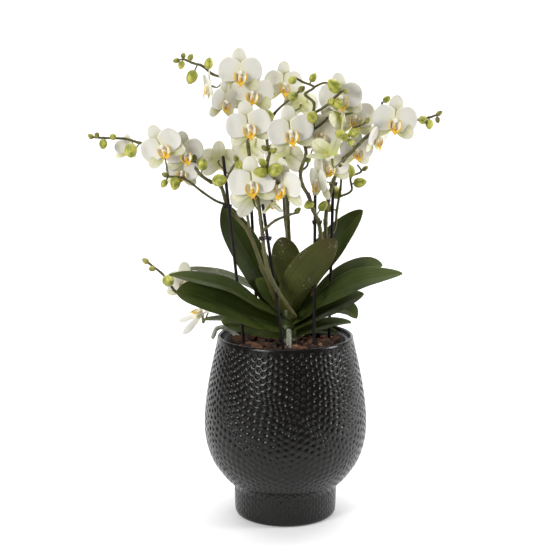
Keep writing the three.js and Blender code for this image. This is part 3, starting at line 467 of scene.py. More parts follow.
class Paint:
    """A procedural material whose nodes are added by short calls, and whose colour is laid on in coats."""

    def __init__(self, name, roughness=0.5):
        self.colour = (1, 1, 1)
        self.material = bpy.data.materials.new(name)
        self.material.use_nodes = True
        self.tree = self.material.node_tree
        self.shader = self.tree.nodes["Principled BSDF"]
        self.set("Roughness", roughness)

    def set(self, socket, value):
        self.put(self.shader, socket, value)

    def put(self, node, socket, value):
        if isinstance(value, bpy.types.NodeSocket):
            self.tree.links.new(value, node.inputs[socket])
        else:
            node.inputs[socket].default_value = value

    def add(self, kind, inputs, **settings):
        node = self.tree.nodes.new(kind)
        for key, value in settings.items():
            setattr(node, key, value)
        for socket, value in inputs.items():
            self.put(node, socket, value)
        return node

    def coat(self, value, low, high, a, b, colour):
        """Lays a colour on, by a share from a to b while value runs from low to high."""
        self.colour = self.mix(self.grade(value, low, high, a, b), self.colour, colour)

    def finish(self):
        self.set("Base Color", self.colour)
        return self.material

    def noise(self, size, detail=3, stretch=(1, 1, 1)):
        """A noise whose lumps are about size millimetres, longer or shorter along an axis by stretch."""
        place = self.add("ShaderNodeTexCoord", {}).outputs["Object"]
        scaled = self.add("ShaderNodeMapping", {"Vector": place, "Scale": [1 / value for value in stretch]})
        inputs = {"Vector": scaled.outputs[0], "Scale": 1 / (size * MM), "Detail": detail}
        return self.add("ShaderNodeTexNoise", inputs).outputs["Fac"]

    def across(self):
        """The map place across a blade from midrib to edge, along it, and from one edge to the other."""
        place = self.add("ShaderNodeUVMap", {}, uv_map="map").outputs["UV"]
        x, y, _ = self.add("ShaderNodeSeparateXYZ", {0: place}).outputs
        middle = self.math("SUBTRACT", x, 0.5)
        return self.math("ABSOLUTE", self.math("MULTIPLY", middle, 2)), y, x

    def streaks(self, across, along):
        """A noise drawn out lengthwise, with about that many lumps across and along a blade."""
        place = self.add("ShaderNodeUVMap", {}, uv_map="map").outputs["UV"]
        scaled = self.add("ShaderNodeMapping", {"Vector": place, "Scale": (across, along, 1)})
        return self.add("ShaderNodeTexNoise", {"Vector": scaled.outputs[0], "Scale": 1}).outputs["Fac"]

    def math(self, operation, a, b=0.0):
        return self.add("ShaderNodeMath", {0: a, 1: b}, operation=operation).outputs[0]

    def ramp(self, value, stops):
        """A number turned into a colour, with stops of [place, colour]."""
        node = self.add("ShaderNodeValToRGB", {"Fac": value})
        elements = node.color_ramp.elements
        while len(elements) < len(stops):
            elements.new(0.5)
        for element, (place, colour) in zip(elements, stops):
            element.position = place
            element.color = (*colour, 1)
        return node.outputs["Color"]

    def grade(self, value, low, high, a=0.0, b=1.0):
        """A number that runs from a to b while value runs from low to high."""
        inputs = {"Value": value, "From Min": low, "From Max": high, "To Min": a, "To Max": b}
        return self.add("ShaderNodeMapRange", inputs, interpolation_type="SMOOTHSTEP").outputs["Result"]

    def mix(self, share, a, b):
        node = self.add("ShaderNodeMix", {0: share}, data_type="RGBA")
        self.put(node, 6, a if isinstance(a, bpy.types.NodeSocket) else (*a, 1))
        self.put(node, 7, b if isinstance(b, bpy.types.NodeSocket) else (*b, 1))
        return node.outputs[2]

    def bump(self, height, depth, strength=1.0):
        """Raises the surface by up to depth millimetres."""
        inputs = {"Height": height, "Distance": depth * MM, "Strength": strength}
        self.set("Normal", self.add("ShaderNodeBump", inputs).outputs["Normal"])


def ceramic_paint():
    paint = Paint("ceramic")
    stops = [[0.3, (0.004, 0.0035, 0.003)], [0.75, (0.008, 0.007, 0.006)]]
    paint.colour = paint.ramp(paint.noise(9), stops)
    paint.set("Roughness", paint.grade(paint.noise(3), 0.3, 0.7, 0.19, 0.29))
    paint.set("Specular IOR Level", 0.31)
    paint.bump(paint.noise(0.9, 4), 0.04, 0.5)
    return paint.finish()


def plastic_paint(name, dark, light, roughness, grain):
    paint = Paint(name)
    paint.colour = paint.mix(paint.noise(6), dark, light)
    paint.set("Roughness", paint.grade(paint.noise(4), 0.3, 0.7, roughness - 0.06, roughness + 0.08))
    paint.set("Specular IOR Level", 0.25)
    paint.bump(paint.noise(grain, 2), 0.08, 0.5)
    return paint.finish()


def bark_paint(name, dark, light):
    paint = Paint(name, 0.9)
    layers = paint.noise(2.2, 5, (2.4, 2.4, 0.7))
    flecks = paint.noise(0.8, 3)
    paint.colour = dark
    paint.coat(layers, 0.38, 0.66, 0, 1, light)
    paint.coat(flecks, 0.62, 0.72, 0, 0.7, tuple(min(1, 1.7 * value + 0.05) for value in light))
    paint.bump(paint.math("ADD", layers, paint.math("MULTIPLY", flecks, 0.5)), 0.7, 0.7)
    return paint.finish()


def root_paint():
    paint = Paint("root", 0.75)
    spots = paint.noise(1.6, 4)
    paint.colour = (0.42, 0.43, 0.36)
    paint.coat(paint.noise(9), 0.35, 0.7, 0, 1, (0.2, 0.23, 0.13))
    paint.coat(spots, 0.5, 0.7, 0, 0.8, (0.6, 0.6, 0.54))
    paint.bump(spots, 0.25, 0.6)
    return paint.finish()


def leaf_paint(name, deep, fresh, rib, tip, gloss, spots=0.0):
    """Fleshy leaf: fresher at its foot, with its midrib, fine lengthwise veins and a thin tan edge."""
    paint = Paint(name)
    across, along, _ = paint.across()
    veins = paint.math("SINE", paint.math("MULTIPLY", across, 80))
    streaks = paint.streaks(24, 1.6)
    paint.colour = deep
    paint.coat(paint.noise(30, 2), 0.3, 0.72, 0, 0.5, fresh)
    paint.coat(along, 0.0, 0.45, 0.8, 0, fresh)
    paint.coat(along, 0.55, 1, 0, 0.85, tip)
    paint.coat(veins, 0.2, 1, 0, 0.1, rib)
    paint.coat(streaks, 0.5, 0.72, 0, 0.5, fresh)
    paint.coat(streaks, 0.5, 0.3, 0, 0.45, tuple(0.55 * value for value in deep))
    paint.coat(across, 0.0, 0.035, 0.4, 0, rib)
    paint.coat(across, 0.95, 0.99, 0, 0.7, (0.13, 0.1, 0.03))
    if spots:
        chalk = paint.grade(paint.noise(2.2, 3), 0.62, 0.7, 0, spots)
        patches = paint.grade(paint.noise(25), 0.5, 0.62)
        paint.colour = paint.mix(paint.math("MULTIPLY", chalk, patches), paint.colour, (0.42, 0.45, 0.4))
    paint.set("Roughness", paint.grade(paint.noise(5), 0.3, 0.7, gloss, gloss + 0.12))
    paint.set("Specular IOR Level", 0.1)
    paint.bump(paint.math("ADD", paint.math("MULTIPLY", veins, 0.25), paint.noise(3, 3)), 0.16, 0.5)
    return paint.finish()


def stem_paint():
    paint = Paint("stem")
    stops = [[0.3, (0.05, 0.05, 0.011)], [0.52, (0.11, 0.1, 0.024)], [0.7, (0.062, 0.036, 0.015)]]
    paint.colour = paint.ramp(paint.noise(14, 3, (1, 1, 2)), stops)
    paint.bump(paint.noise(0.8, 3, (1, 1, 5)), 0.12, 0.6)
    return paint.finish()


def fresh_paint(name, light, dark, blush, seams=False):
    """Fresh growth in three blotched colours, darker at a bud's foot, and darker in its three sunk seams as
    painted shade.
    """
    paint = Paint(name, 0.42)
    paint.colour = light
    paint.coat(paint.noise(7), 0.35, 0.65, 0, 1, dark)
    paint.coat(paint.noise(11), 0.55, 0.75, 0, 0.7, blush)
    if seams:
        _, along, turn = paint.across()
        # Painted shade: the skin is darkened along its three sunk seams.
        seam = paint.math("ABSOLUTE", paint.math("SINE", paint.math("MULTIPLY", turn, 3 * pi)))
        paint.coat(seam, 0.0, 0.4, 0.8, 0, dark)
        paint.coat(along, 0.0, 0.6, 0.75, 0, dark)
    paint.set("Subsurface Weight", 0.1)
    paint.set("Subsurface Radius", (0.002, 0.002, 0.001))
    paint.bump(paint.noise(1.2, 3), 0.08, 0.6)
    return paint.finish()


def lobe_paint(name, body, base, reach, rib, rib_share):
    """A sepal's or petal's face: its body colour, its base colour up to reach, and its midrib."""
    paint = Paint(name, 0.55)
    across, along, side = paint.across()
    veins = paint.math("SINE", paint.math("MULTIPLY", side, 90))
    paint.colour = body
    paint.coat(along, 0.04, reach, 1, 0, base)
    paint.coat(veins, 0.1, 1, 0, 0.14, tuple(0.86 * value for value in body))
    paint.coat(across, 0.02, 0.14, rib_share, 0, rib)
    paint.set("Subsurface Weight", 0.35)
    paint.set("Subsurface Radius", (0.005, 0.005, 0.004))
    paint.set("Specular IOR Level", 0.3)
    paint.bump(paint.math("ADD", paint.math("MULTIPLY", veins, 0.3), paint.noise(0.7, 3)), 0.12, 0.45)
    return paint.finish()


def lip_paint(name, base, tip, turn, edge):
    """A lip's face: its base colour, its tip colour past turn, and its edge."""
    paint = Paint(name, 0.4)
    across, along, _ = paint.across()
    spots = paint.noise(0.8, 2)
    paint.colour = base
    paint.coat(along, turn - 0.25, turn + 0.25, 0, 1, tip)
    paint.coat(spots, 0.55, 0.65, 0, 0.4, base)
    paint.coat(across, 0.6, 0.95, 0, 0.9, edge)
    paint.bump(spots, 0.1, 0.5)
    return paint.finish()


CERAMIC = ceramic_paint()
NURSERY = plastic_paint("nursery_plastic", (0.012, 0.012, 0.013), (0.022, 0.022, 0.023), 0.42, 1.5)
STAKE = plastic_paint("stake_plastic", (0.007, 0.005, 0.006), (0.014, 0.009, 0.011), 0.45, 0.8)
CLIP = plastic_paint("clip_plastic", (0.01, 0.01, 0.011), (0.022, 0.02, 0.022), 0.35, 0.8)
BARKS = [
    bark_paint("bark_dark", (0.014, 0.007, 0.004), (0.05, 0.021, 0.011)),
    bark_paint("bark_red", (0.035, 0.012, 0.006), (0.13, 0.045, 0.02)),
    bark_paint("bark_brown", (0.055, 0.022, 0.01), (0.18, 0.075, 0.035)),
    bark_paint("bark_pale", (0.14, 0.07, 0.035), (0.4, 0.23, 0.125)),
]
ROOT = root_paint()
LEAF_TOP = leaf_paint("leaf_top", (0.03, 0.043, 0.01), (0.056, 0.079, 0.014), (0.1, 0.115, 0.03),
                      (0.085, 0.11, 0.024), 0.42)
LEAF_UNDER = leaf_paint("leaf_under", (0.062, 0.067, 0.018), (0.095, 0.108, 0.026), (0.035, 0.038, 0.01),
                        (0.075, 0.052, 0.026), 0.46, 0.9)
STEM = stem_paint()
STALK = fresh_paint("stalk", (0.16, 0.17, 0.03), (0.085, 0.09, 0.018), (0.09, 0.065, 0.022))
BUD = fresh_paint("bud", (0.58, 0.56, 0.1), (0.22, 0.25, 0.022), (0.32, 0.25, 0.045), True)
YOUNG_BUD = fresh_paint("young_bud", (0.38, 0.36, 0.07), (0.14, 0.14, 0.022), (0.19, 0.12, 0.035), True)
CROWN = fresh_paint("crown", (0.06, 0.085, 0.012), (0.032, 0.046, 0.008), (0.06, 0.052, 0.018))
PETAL = lobe_paint("petal_face", (0.83, 0.81, 0.74), (0.82, 0.8, 0.6), 0.3, (0.79, 0.77, 0.64), 0.2)
SEPAL = lobe_paint("sepal_face", (0.83, 0.81, 0.7), (0.7, 0.69, 0.36), 0.5, (0.74, 0.73, 0.5), 0.3)
LATERAL = lobe_paint("lateral_face", (0.82, 0.8, 0.62), (0.5, 0.51, 0.09), 0.8, (0.6, 0.6, 0.22), 0.4)
YOUNG_BACK = lobe_paint("young_back", (0.8, 0.8, 0.56), (0.56, 0.6, 0.16), 0.55, (0.52, 0.58, 0.16), 0.5)
BACK = lobe_paint("lobe_back", (0.86, 0.84, 0.72), (0.66, 0.66, 0.3), 0.5, (0.62, 0.62, 0.3), 0.35)
COLUMN = fresh_paint("column", (0.88, 0.85, 0.76), (0.84, 0.78, 0.66), (0.82, 0.68, 0.56))
LIP_SIDE = lip_paint("lip_side", (0.9, 0.82, 0.5), (0.9, 0.88, 0.76), 0.3, (0.88, 0.66, 0.16))
LIP_EDGE = fresh_paint("lip_edge", (0.85, 0.58, 0.025), (0.82, 0.48, 0.015), (0.88, 0.68, 0.1))
LIP_MIDDLE = lip_paint("lip_middle", (0.76, 0.24, 0.006), (0.87, 0.54, 0.015), 0.42, (0.88, 0.6, 0.04))
CALLUS = lip_paint("lip_callus", (0.72, 0.22, 0.01), (0.86, 0.46, 0.015), 0.4, (0.8, 0.3, 0.01))


def even_profile(points, step):
    """Even steps along a smooth profile through the points, as [radius, height]."""
    path = [[radius, 0, height] for radius, height in points]
    fine = [route(path, k / 600) for k in range(601)]
    lengths = [0]
    for low, high in zip(fine, fine[1:]):
        lengths.append(lengths[-1] + (high - low).length)
    rows = round(lengths[-1] / step)
    steps, k = [], 0
    for row in range(rows + 1):
        goal = lengths[-1] * row / rows
        while k < 599 and lengths[k + 1] < goal:
            k += 1
        steps.append(fine[k].lerp(fine[k + 1], (goal - lengths[k]) / (lengths[k + 1] - lengths[k])))
    return [[step.x, step.z] for step in steps], lengths[-1]


class Wall:
    """The pot's hammered outside: six-cornered cells in staggered columns, each with a round dimple.

    A place on it is x, in thirds of a column round the pot, and y, in half rows up its profile.
    """

    def __init__(self, shape):
        self.shape = shape
        self.profile, self.length = even_profile(OUTSIDE, 0.5)
        self.rows = round(self.length / DIMPLE_ROW)
        self.known = {}

    def spot(self, x, y, depth=0.0):
        """The point at a place, where the rows and columns wander a little as hammered ones do."""
        turn, share = x / (3 * COLUMNS), y / (2 * self.rows)
        taper = sin(pi * share)
        x += taper * (1.1 * sin(0.33 * y + 12 * pi * turn) + 0.5 * sin(0.71 * y + 22 * pi * turn))
        far = (share + taper * 0.011 * sin(26 * pi * turn + 0.2 * y)) * (len(self.profile) - 1)
        k = min(int(far), len(self.profile) - 2)
        low, high = Vector(self.profile[k]), Vector(self.profile[k + 1])
        radius, height = low.lerp(high, far - k)
        rise = (high - low).normalized()
        return spin(radius - rise.y * depth, x / (3 * COLUMNS), height + rise.x * depth)

    def corner(self, x, y):
        key = (x % (3 * COLUMNS), y)
        if key not in self.known:
            self.known[key] = self.shape.point(self.spot(x, y), (x / (3 * COLUMNS), y / (2 * self.rows)))
        return self.known[key]

    def ring(self, y):
        return [self.corner(3 * column + step, y) for column in range(0, COLUMNS, 2) for step in (-1, 1)]

    def add_cell(self, column, y, draw):
        x = 3 * column
        rim = [self.corner(x + i, y + j) for i, j in ((2, 0), (1, 1), (-1, 1), (-2, 0), (-1, -1), (1, -1))]
        aside, above, size = draw.uniform(-0.2, 0.2), draw.uniform(-0.13, 0.13), draw.uniform(0.9, 1.01)
        depth = DIMPLE_DEPTH * dimple_strength(self.spot(x, y)[2]) * draw.uniform(0.8, 1.1)
        rings = []
        for share in (1, 0.8, 0.5):
            ring = []
            for k in range(DIMPLE_CORNERS):
                angle = 2 * pi * k / DIMPLE_CORNERS
                place = self.spot(x + aside + 3 * DIMPLE_SHARE * size * share * cos(angle),
                                  y + above + 2 * DIMPLE_SHARE * 0.9 * size * share * sin(angle),
                                  depth * (1 - share**2)**1.5)
                ring.append(self.shape.point(place))
            rings.append(ring)
        for k in range(6):
            a, b, c = (rings[0][(2 * k + step) % DIMPLE_CORNERS] for step in range(3))
            for corners in ([rim[k], b, a], [rim[k], rim[(k + 1) % 6], b], [rim[(k + 1) % 6], c, b]):
                self.shape.face(corners, CERAMIC)
        middle = self.shape.point(self.spot(x + aside, y + above, depth))
        add_skin(self.shape, rings + [[middle] * DIMPLE_CORNERS], CERAMIC)

    def add(self):
        draw = random.Random(31)
        top = 2 * self.rows
        for column in range(COLUMNS):
            for y in range(1 + column % 2, top, 2):
                self.add_cell(column, y, draw)
        for column in range(1, COLUMNS, 2):
            x = 3 * column
            ends = ([(x - 2, 0), (x + 2, 0), (x + 1, 1), (x - 1, 1)],
                    [(x - 1, top - 1), (x + 1, top - 1), (x + 2, top), (x - 2, top)])
            for places in ends:
                self.shape.face([self.corner(*place) for place in places], CERAMIC)
        return self.ring(0), self.ring(top)


def dimple_strength(height):
    """The dimples are shallow on the foot and deepest up the belly."""
    return 0.45 + 0.2 * smooth(38, 60, height) + 0.35 * smooth(70, 130, height)


def make_pot():
    shape = Shape()
    foot = FOOT_RADIUS - POT_WALL
    under = [[0, 0], [FOOT_RADIUS - FOOT_ROUND, 0], [FOOT_RADIUS - 1.6, 1], [FOOT_RADIUS - 0.3, 3]]
    rim = [[RIM_RADIUS + 0.1, 222.5], [RIM_RADIUS - 0.3, 223.8], [RIM_RADIUS - 1, 224.7],
           [RIM_RADIUS - 1.9, POT_HEIGHT], [RIM_RADIUS - 2.9, 224.6], [MOUTH_RADIUS + 0.2, 223.6]]
    inside = [[MOUTH_RADIUS, 222], [MOUTH_RADIUS, SHOULDER_Z + 0.4], [SHOULDER_RADIUS, SHOULDER_Z], *INSIDE,
              [foot, FOOT_HEIGHT + 2], [foot, POT_FLOOR], [0, POT_FLOOR]]
    low, high = Wall(shape).add()
    add_skin(shape, [plain_ring(shape, *place) for place in under] + [low], CERAMIC)
    add_skin(shape, [high] + [plain_ring(shape, *place) for place in rim + inside], CERAMIC)
    make("pot", shape)


def plain_ring(shape, radius, height):
    """A ring whose corners stand where those of the hammered wall's ends do."""
    if radius == 0:
        return [shape.point((0, 0, height))] * COLUMNS
    turns = [(3 * column + step) / (3 * COLUMNS) for column in range(0, COLUMNS, 2) for step in (-1, 1)]
    return [shape.point(spin(radius, turn, height)) for turn in turns]


def make_nursery_pot():
    shape = Shape()
    foot, low, wide, lip = NURSERY_FOOT_RADIUS, NURSERY_FOOT_Z, NURSERY_TOP_RADIUS, LIP_RADIUS
    high, floor = LIP_Z + LIP_HEIGHT, low + NURSERY_WALL
    outside = [[0, low], [foot - 1, low], [foot, low + 1], [wide - 0.2, LIP_Z - 1], [wide + 0.4, LIP_Z]]
    rolled = [[lip - 0.5, LIP_Z], [lip, LIP_Z + 0.5], [lip, high - 0.6], [lip - 0.6, high]]
    inside = [[wide - NURSERY_WALL + 0.5, high], [wide - NURSERY_WALL, high - 0.5],
              [foot - NURSERY_WALL, floor], [0, floor]]
    add_lathe(shape, outside + rolled + inside, 160, NURSERY)
    make("nursery_pot", shape)


def make_bark():
    draw = random.Random(12)
    shape = Shape()
    foot = NURSERY_FOOT_Z + NURSERY_WALL + 0.3
    profile = [[0, foot], [BARK_FOOT_RADIUS, foot], [BARK_RADIUS, BARK_TOP_Z - 2],
               [BARK_TOP_RADIUS, BARK_TOP_Z]]
    profile += [[BARK_TOP_RADIUS * (1 - k / 8), BARK_TOP_Z + draw.uniform(-1, 1.5)] for k in range(1, 9)]
    add_lathe(shape, profile, 72, BARKS[0])
    for _ in range(CHIP_COUNT):
        add_chip(shape, draw)
    make("bark", shape, smooth_faces=False)


def add_chip(shape, draw):
    """A flat rough chip with broken corners, lying at a slant."""
    length, width, thick = (draw.uniform(*span) for span in (CHIP_LENGTH, CHIP_WIDTH, CHIP_THICKNESS))
    far = CHIP_SPREAD * sqrt(draw.random())
    tilt = Matrix.Rotation(draw.gauss(0, 0.5), 4, "X") @ Matrix.Rotation(draw.gauss(0, 0.3), 4, "Y")
    turn = Matrix.Rotation(draw.uniform(0, 2 * pi), 4, "Z")
    height = BARK_TOP_Z + draw.uniform(-0.5, 5)
    inward = max(0, far + length / 2 - CHIP_REACH)
    place = Matrix.Translation(spin(far - inward, draw.random(), height)) @ turn @ tilt
    corners = draw.randint(6, 8)
    bends = [(2 * pi * (i + draw.uniform(-0.3, 0.3)) / corners, draw.uniform(0.8, 1.12))
             for i in range(corners)]
    rings = []
    for lift, share in ((-0.5, 0.78), (-0.2, 1), (0.25, 0.97), (0.5, 0.76)):
        ring = []
        for angle, reach in bends:
            spot = Vector((share * reach * length / 2 * cos(angle), share * reach * width / 2 * sin(angle),
                           lift * thick + draw.uniform(-0.35, 0.35)))
            ring.append(shape.point(place @ spot))
        rings.append(ring)
    low, high = (shape.point(place @ Vector((0, 0, lift * thick + draw.uniform(-0.4, 0.4))))
                 for lift in (-0.5, 0.5))
    paint = BARKS[draw.choice([0, 0, 0, 1, 1, 2, 2, 3])]
    add_skin(shape, [[low] * corners] + rings + [[high] * corners], paint)


def make_stakes():
    for number, (foot, top) in enumerate(STAKES, 1):
        low, high = Vector(foot), Vector(top)
        end = low + (low - high) * (foot[2] - STAKE_FOOT_Z) / (top[2] - foot[2])
        centres = [end.lerp(high, k / 30) for k in range(31)]
        shape = Shape()
        add_tube(shape, centres, [STAKE_RADIUS] * 31, 20, STAKE, lambda angle: 1 - 0.02 * cos(6 * angle))
        make(f"stake_{number}", shape)


def make_clips():
    """Claw clips: a split band round stake and stem, with two finger tabs."""
    turns = [radians(20 + 320 * k / 40) for k in range(41)]
    for number, ((x, y, z), half_x, half_y) in enumerate(CLIPS, 1):
        shape = Shape()
        for lift in (-1.2, 1.2):
            band = [(x + (half_x - BAND_INSET) * sin(turn), y - (half_y - BAND_INSET) * cos(turn), z + lift)
                    for turn in turns]
            add_tube(shape, band, [BAND_RADIUS] * len(band), 8, CLIP)
        for side in (-1, 1):
            tab = [(x + side * (half_x - 1.6), y - half_y * 0.62, z - 1.6),
                   (x + side * (half_x - 0.4), y - half_y, z + 0.4),
                   (x + side * (half_x + 0.2), y - half_y - 1.6, z + 2.4)]
            add_blade(shape, 4, 6, lambda u, t, face: route(tab, t) + Vector((0.4 * face, 0, 2 * u)),
                      (CLIP, CLIP))
        make(f"clip_{number}", shape)


def make_roots():
    thick, thin = ROOT_RADII
    radii = [thick + (thin - thick) * k / 60 + 0.22 * sin(k * 0.7) + 0.12 * sin(k * 1.9) for k in range(61)]
    for name, path in ROOTS.items():
        shape = Shape()
        add_tube(shape, points_along(path, 60), radii, 20, ROOT)
        make(f"root_{name}", shape)


def strap(t, tip):
    """Half of a leaf's width along its length: a clasping base, the widest past the middle, then the tip."""
    widest = 0.58
    if t <= widest:
        return 0.45 + 0.55 * sin(pi / 2 * t / widest)
    return max(0, 1 - ((t - widest) / (1 - widest))**2.2)**tip


def add_leaf(shape, leaf, draw):
    """A fleshy strap leaf, grooved along its midrib, with a faint wave in its edges."""
    width, face, path, *full = leaf
    upper, tip = Vector(face).normalized(), full[0] if full else LEAF_TIP
    phase, swing = draw.uniform(0, 6), draw.uniform(0.4, 0.9)

    def place(u, row, side):
        t = 1 - (1 - row)**1.5
        middle, across, normal = path_frame(path, t, upper)
        half = width / 2 * strap(t, tip) if 0 < t < 1 else 0
        fold = sqrt(u * u + 0.004) - 0.063
        wave = swing * u * abs(u) * sin(9 * t + phase) * min(1, half / 12)
        thick = LEAF_THICKNESS / 2 * (1 - 0.6 * abs(u)) * sqrt(1 - min(1, abs(u))**6)
        groove = GROOVE_DEPTH * exp(-(u / GROOVE_WIDTH)**2) * (1 if side > 0 else 1.6)
        lift = fold * half * LEAF_FOLD + wave + side * thick - groove * (side != 0)
        return middle + across * u * half + normal * lift

    add_blade(shape, 26, 54, place, (LEAF_TOP, LEAF_UNDER))


def make_leaves():
    draw = random.Random(5)
    for number, leaf in enumerate(LEAVES, 1):
        shape = Shape()
        add_leaf(shape, leaf, draw)
        make(f"leaf_{number:02d}", shape)


def make_crowns():
    draw = random.Random(9)
    thick, thin = CROWN_RADII
    radii = [thick + (thin - thick) * k / 40 + 0.8 * abs(sin(k * 0.24)) for k in range(41)]
    for name, path in CROWN_STEMS.items():
        shape = Shape()
        add_tube(shape, points_along(path, 40), radii, 28, CROWN)
        for leaf in CROWN_LEAVES[name]:
            add_leaf(shape, leaf, draw)
        make(f"crown_{name}", shape)


def stem_points(stems):
    """Points along a spike's stems that a bud or a bloom can hang from."""
    return [point for _, _, path in stems for point in points_along(path, 2 * (len(path) - 1))[1:]]


def nearest_below(points, place):
    return min(points, key=lambda point: (point - place).length + 0.4 * (point.z - place.z))


def add_stem(shape, thick, thin, path):
    """A tapering stem, thicker where it bends at its nodes, with a small bract at each."""
    spans = len(path) - 1
    count = 10 * spans
    radii = []
    for k in range(count + 1):
        t = k / count
        node_gap = abs(t * spans - round(t * spans))
        swell = 1 + NODE_SWELL * exp(-(node_gap / NODE_WIDTH)**2) * (round(t * spans) > 1)
        radii.append((thick + (thin - thick) * t) * swell + STEM_SKIN)
    add_tube(shape, points_along(path, count), radii, 14, STEM)
    for i in range(2, spans):
        add_bract(shape, path, i / spans, (thick + (thin - thick) * i / spans), i % 2)


def add_bract(shape, path, t, radius, flip):
    """A pointed scale leaf that hugs the stem."""
    centre, ahead = route(path, t), heading(path, t)
    side = ahead.cross(Vector((0, 1, 0))).normalized() * (1 if flip else -1)
    round_way = ahead.cross(side)
    length = 3.2 + 1.6 * radius

    def place(u, s, face):
        angle = u * 1.25 * sqrt(max(0, 1 - s**1.5))
        reach = radius * 1.12 + 0.5 * s * s * radius + BRACT_THICKNESS / 2 * face
        around = side * cos(angle) + round_way * sin(angle)
        return centre + ahead * (s * length - 1) + around * reach

    add_blade(shape, 8, 8, place, (STALK, STALK))


def bud_seam(angle):
    """A bud's skin is sunk in three seams: its reach at an angle round the bud, as a share."""
    return 1 - SEAM_DEPTH * exp(-(sin(1.5 * angle) / SEAM_WIDTH)**2)


def add_bud(shape, points, at, length):
    """An egg of a bud in three seams, on its short stalk."""
    centre = Vector(at)
    foot = nearest_below(points, centre)
    ahead = (centre - foot).normalized()
    tall, wide = length * 1.16, length * 0.88
    shares = [(1 - cos(pi * k / 17)) / 2 for k in range(1, 17)]
    centres = [centre + ahead * tall * (s - 0.5) for s in shares]
    reaches = [sqrt(max(0, 1 - (2 * s - 1)**2)) * (1 + 0.34 * (0.45 - s)) for s in shares]
    radii = [max(0.3, wide / 2 * reach) for reach in reaches]
    add_tube(shape, centres, radii, 30, YOUNG_BUD if length < YOUNG_LENGTH else BUD, bud_seam)
    end = centre - ahead * length * 0.45
    if (end - foot).length > 1:
        radii = [BUD_STALK_RADIUS] * 6 + [BUD_STALK_RADIUS + 0.5]
        add_tube(shape, [foot.lerp(end, k / 6) for k in range(7)], radii, 10, STALK)


def bloom_place(at, turns):
    turn, nod, roll = (radians(value) for value in turns)
    spun = Matrix.Rotation(turn, 4, "Z") @ Matrix.Rotation(nod, 4, "X") @ Matrix.Rotation(roll, 4, "Y")
    return Matrix.Translation(at) @ spun


def add_pedicel(shape, points, at, turns, size):
    """A bloom's stalk, from the spike to the bloom's back, thickening into it."""
    place, scale = bloom_place(at, turns), size / BLOOM_SPAN
    behind = place @ Vector((0, 12 * scale, -3))
    path = [nearest_below(points, behind), behind, place @ Vector((0, 1.5 * scale, 0))]
    count = 22
    radii = [PEDICEL_RADIUS * (0.85 + 0.55 * smooth(0.5, 1, k / count)) for k in range(count + 1)]
    add_tube(shape, points_along(path, count), radii, 12, STALK, lambda angle: 1 + 0.05 * cos(6 * angle))


def make_spikes():
    for name, stems in STEMS.items():
        shape = Shape()
        points = stem_points(stems)
        for stem in stems:
            add_stem(shape, *stem)
        for *at, length in BUDS[name]:
            add_bud(shape, points, at, length)
        for _, owner, at, turns, size, *_ in BLOOMS:
            if owner == name:
                add_pedicel(shape, points, at, turns, size)
        make(f"spike_{name}", shape)


def lobe_frame(angle, lean, twist):
    """Which way a lobe runs and lies in a bloom that faces -Y: along, across and towards the front."""
    turn, tip, roll = radians(angle), radians(lean), radians(twist)
    out, front = Vector((sin(turn), 0, cos(turn))), Vector((0, -1, 0))
    across = Vector((cos(turn), 0, -sin(turn)))
    along, normal = out * cos(tip) + front * sin(tip), front * cos(tip) - out * sin(tip)
    return along, across * cos(roll) + normal * sin(roll), normal * cos(roll) - across * sin(roll)


def lobe_width(t, widest, claw, power):
    """Half a lobe's width as a share, widest at that share of its length, with a claw at its base."""
    gap = (widest - t) / (widest + claw) if t < widest else (t - widest) / (1 - widest)
    return sqrt(max(0, 1 - gap**power))


def add_lobe(shape, place, scale, lobe, lean, narrow, back, look, paints, draw):
    """One sepal or petal: cupped, with soft waves towards its edge and its tip turned a little back."""
    angle, length, width, tilt, cup, twist = lobe
    widest, claw, power = look
    along, across, normal = lobe_frame(angle + draw.uniform(-4, 4), tilt + lean + draw.uniform(-4, 4), twist)
    phase, ripple, curl = draw.uniform(0, 6), draw.uniform(0.4, 1), draw.uniform(0.2, 2.4)

    def spot(u, row, side):
        t = 1 - (1 - row)**1.6
        half = width / 2 * narrow * 0.96 * lobe_width(t, widest, claw, power) if 0 < t < 1 else 0
        belly = cup * (1 - u * u) * sin(pi * min(1, 1.1 * t)) * 1.5 * smooth(0.3, 0.75, t)
        wave = ripple * u * u * sin(5 * t + 2.2 * u + phase) * t
        rib = -RIB_DEPTH * exp(-(u / RIB_WIDTH)**2) * sin(pi * t)
        thick = side * PETAL_THICKNESS / 2 * (1 - 0.5 * abs(u))
        lift = belly + wave + rib - curl * t**4 + thick
        in_bloom = along * t * length + across * u * half + normal * lift + Vector((0, back, 0))
        return place @ (in_bloom * scale)

    add_blade(shape, 16, 16, spot, paints)


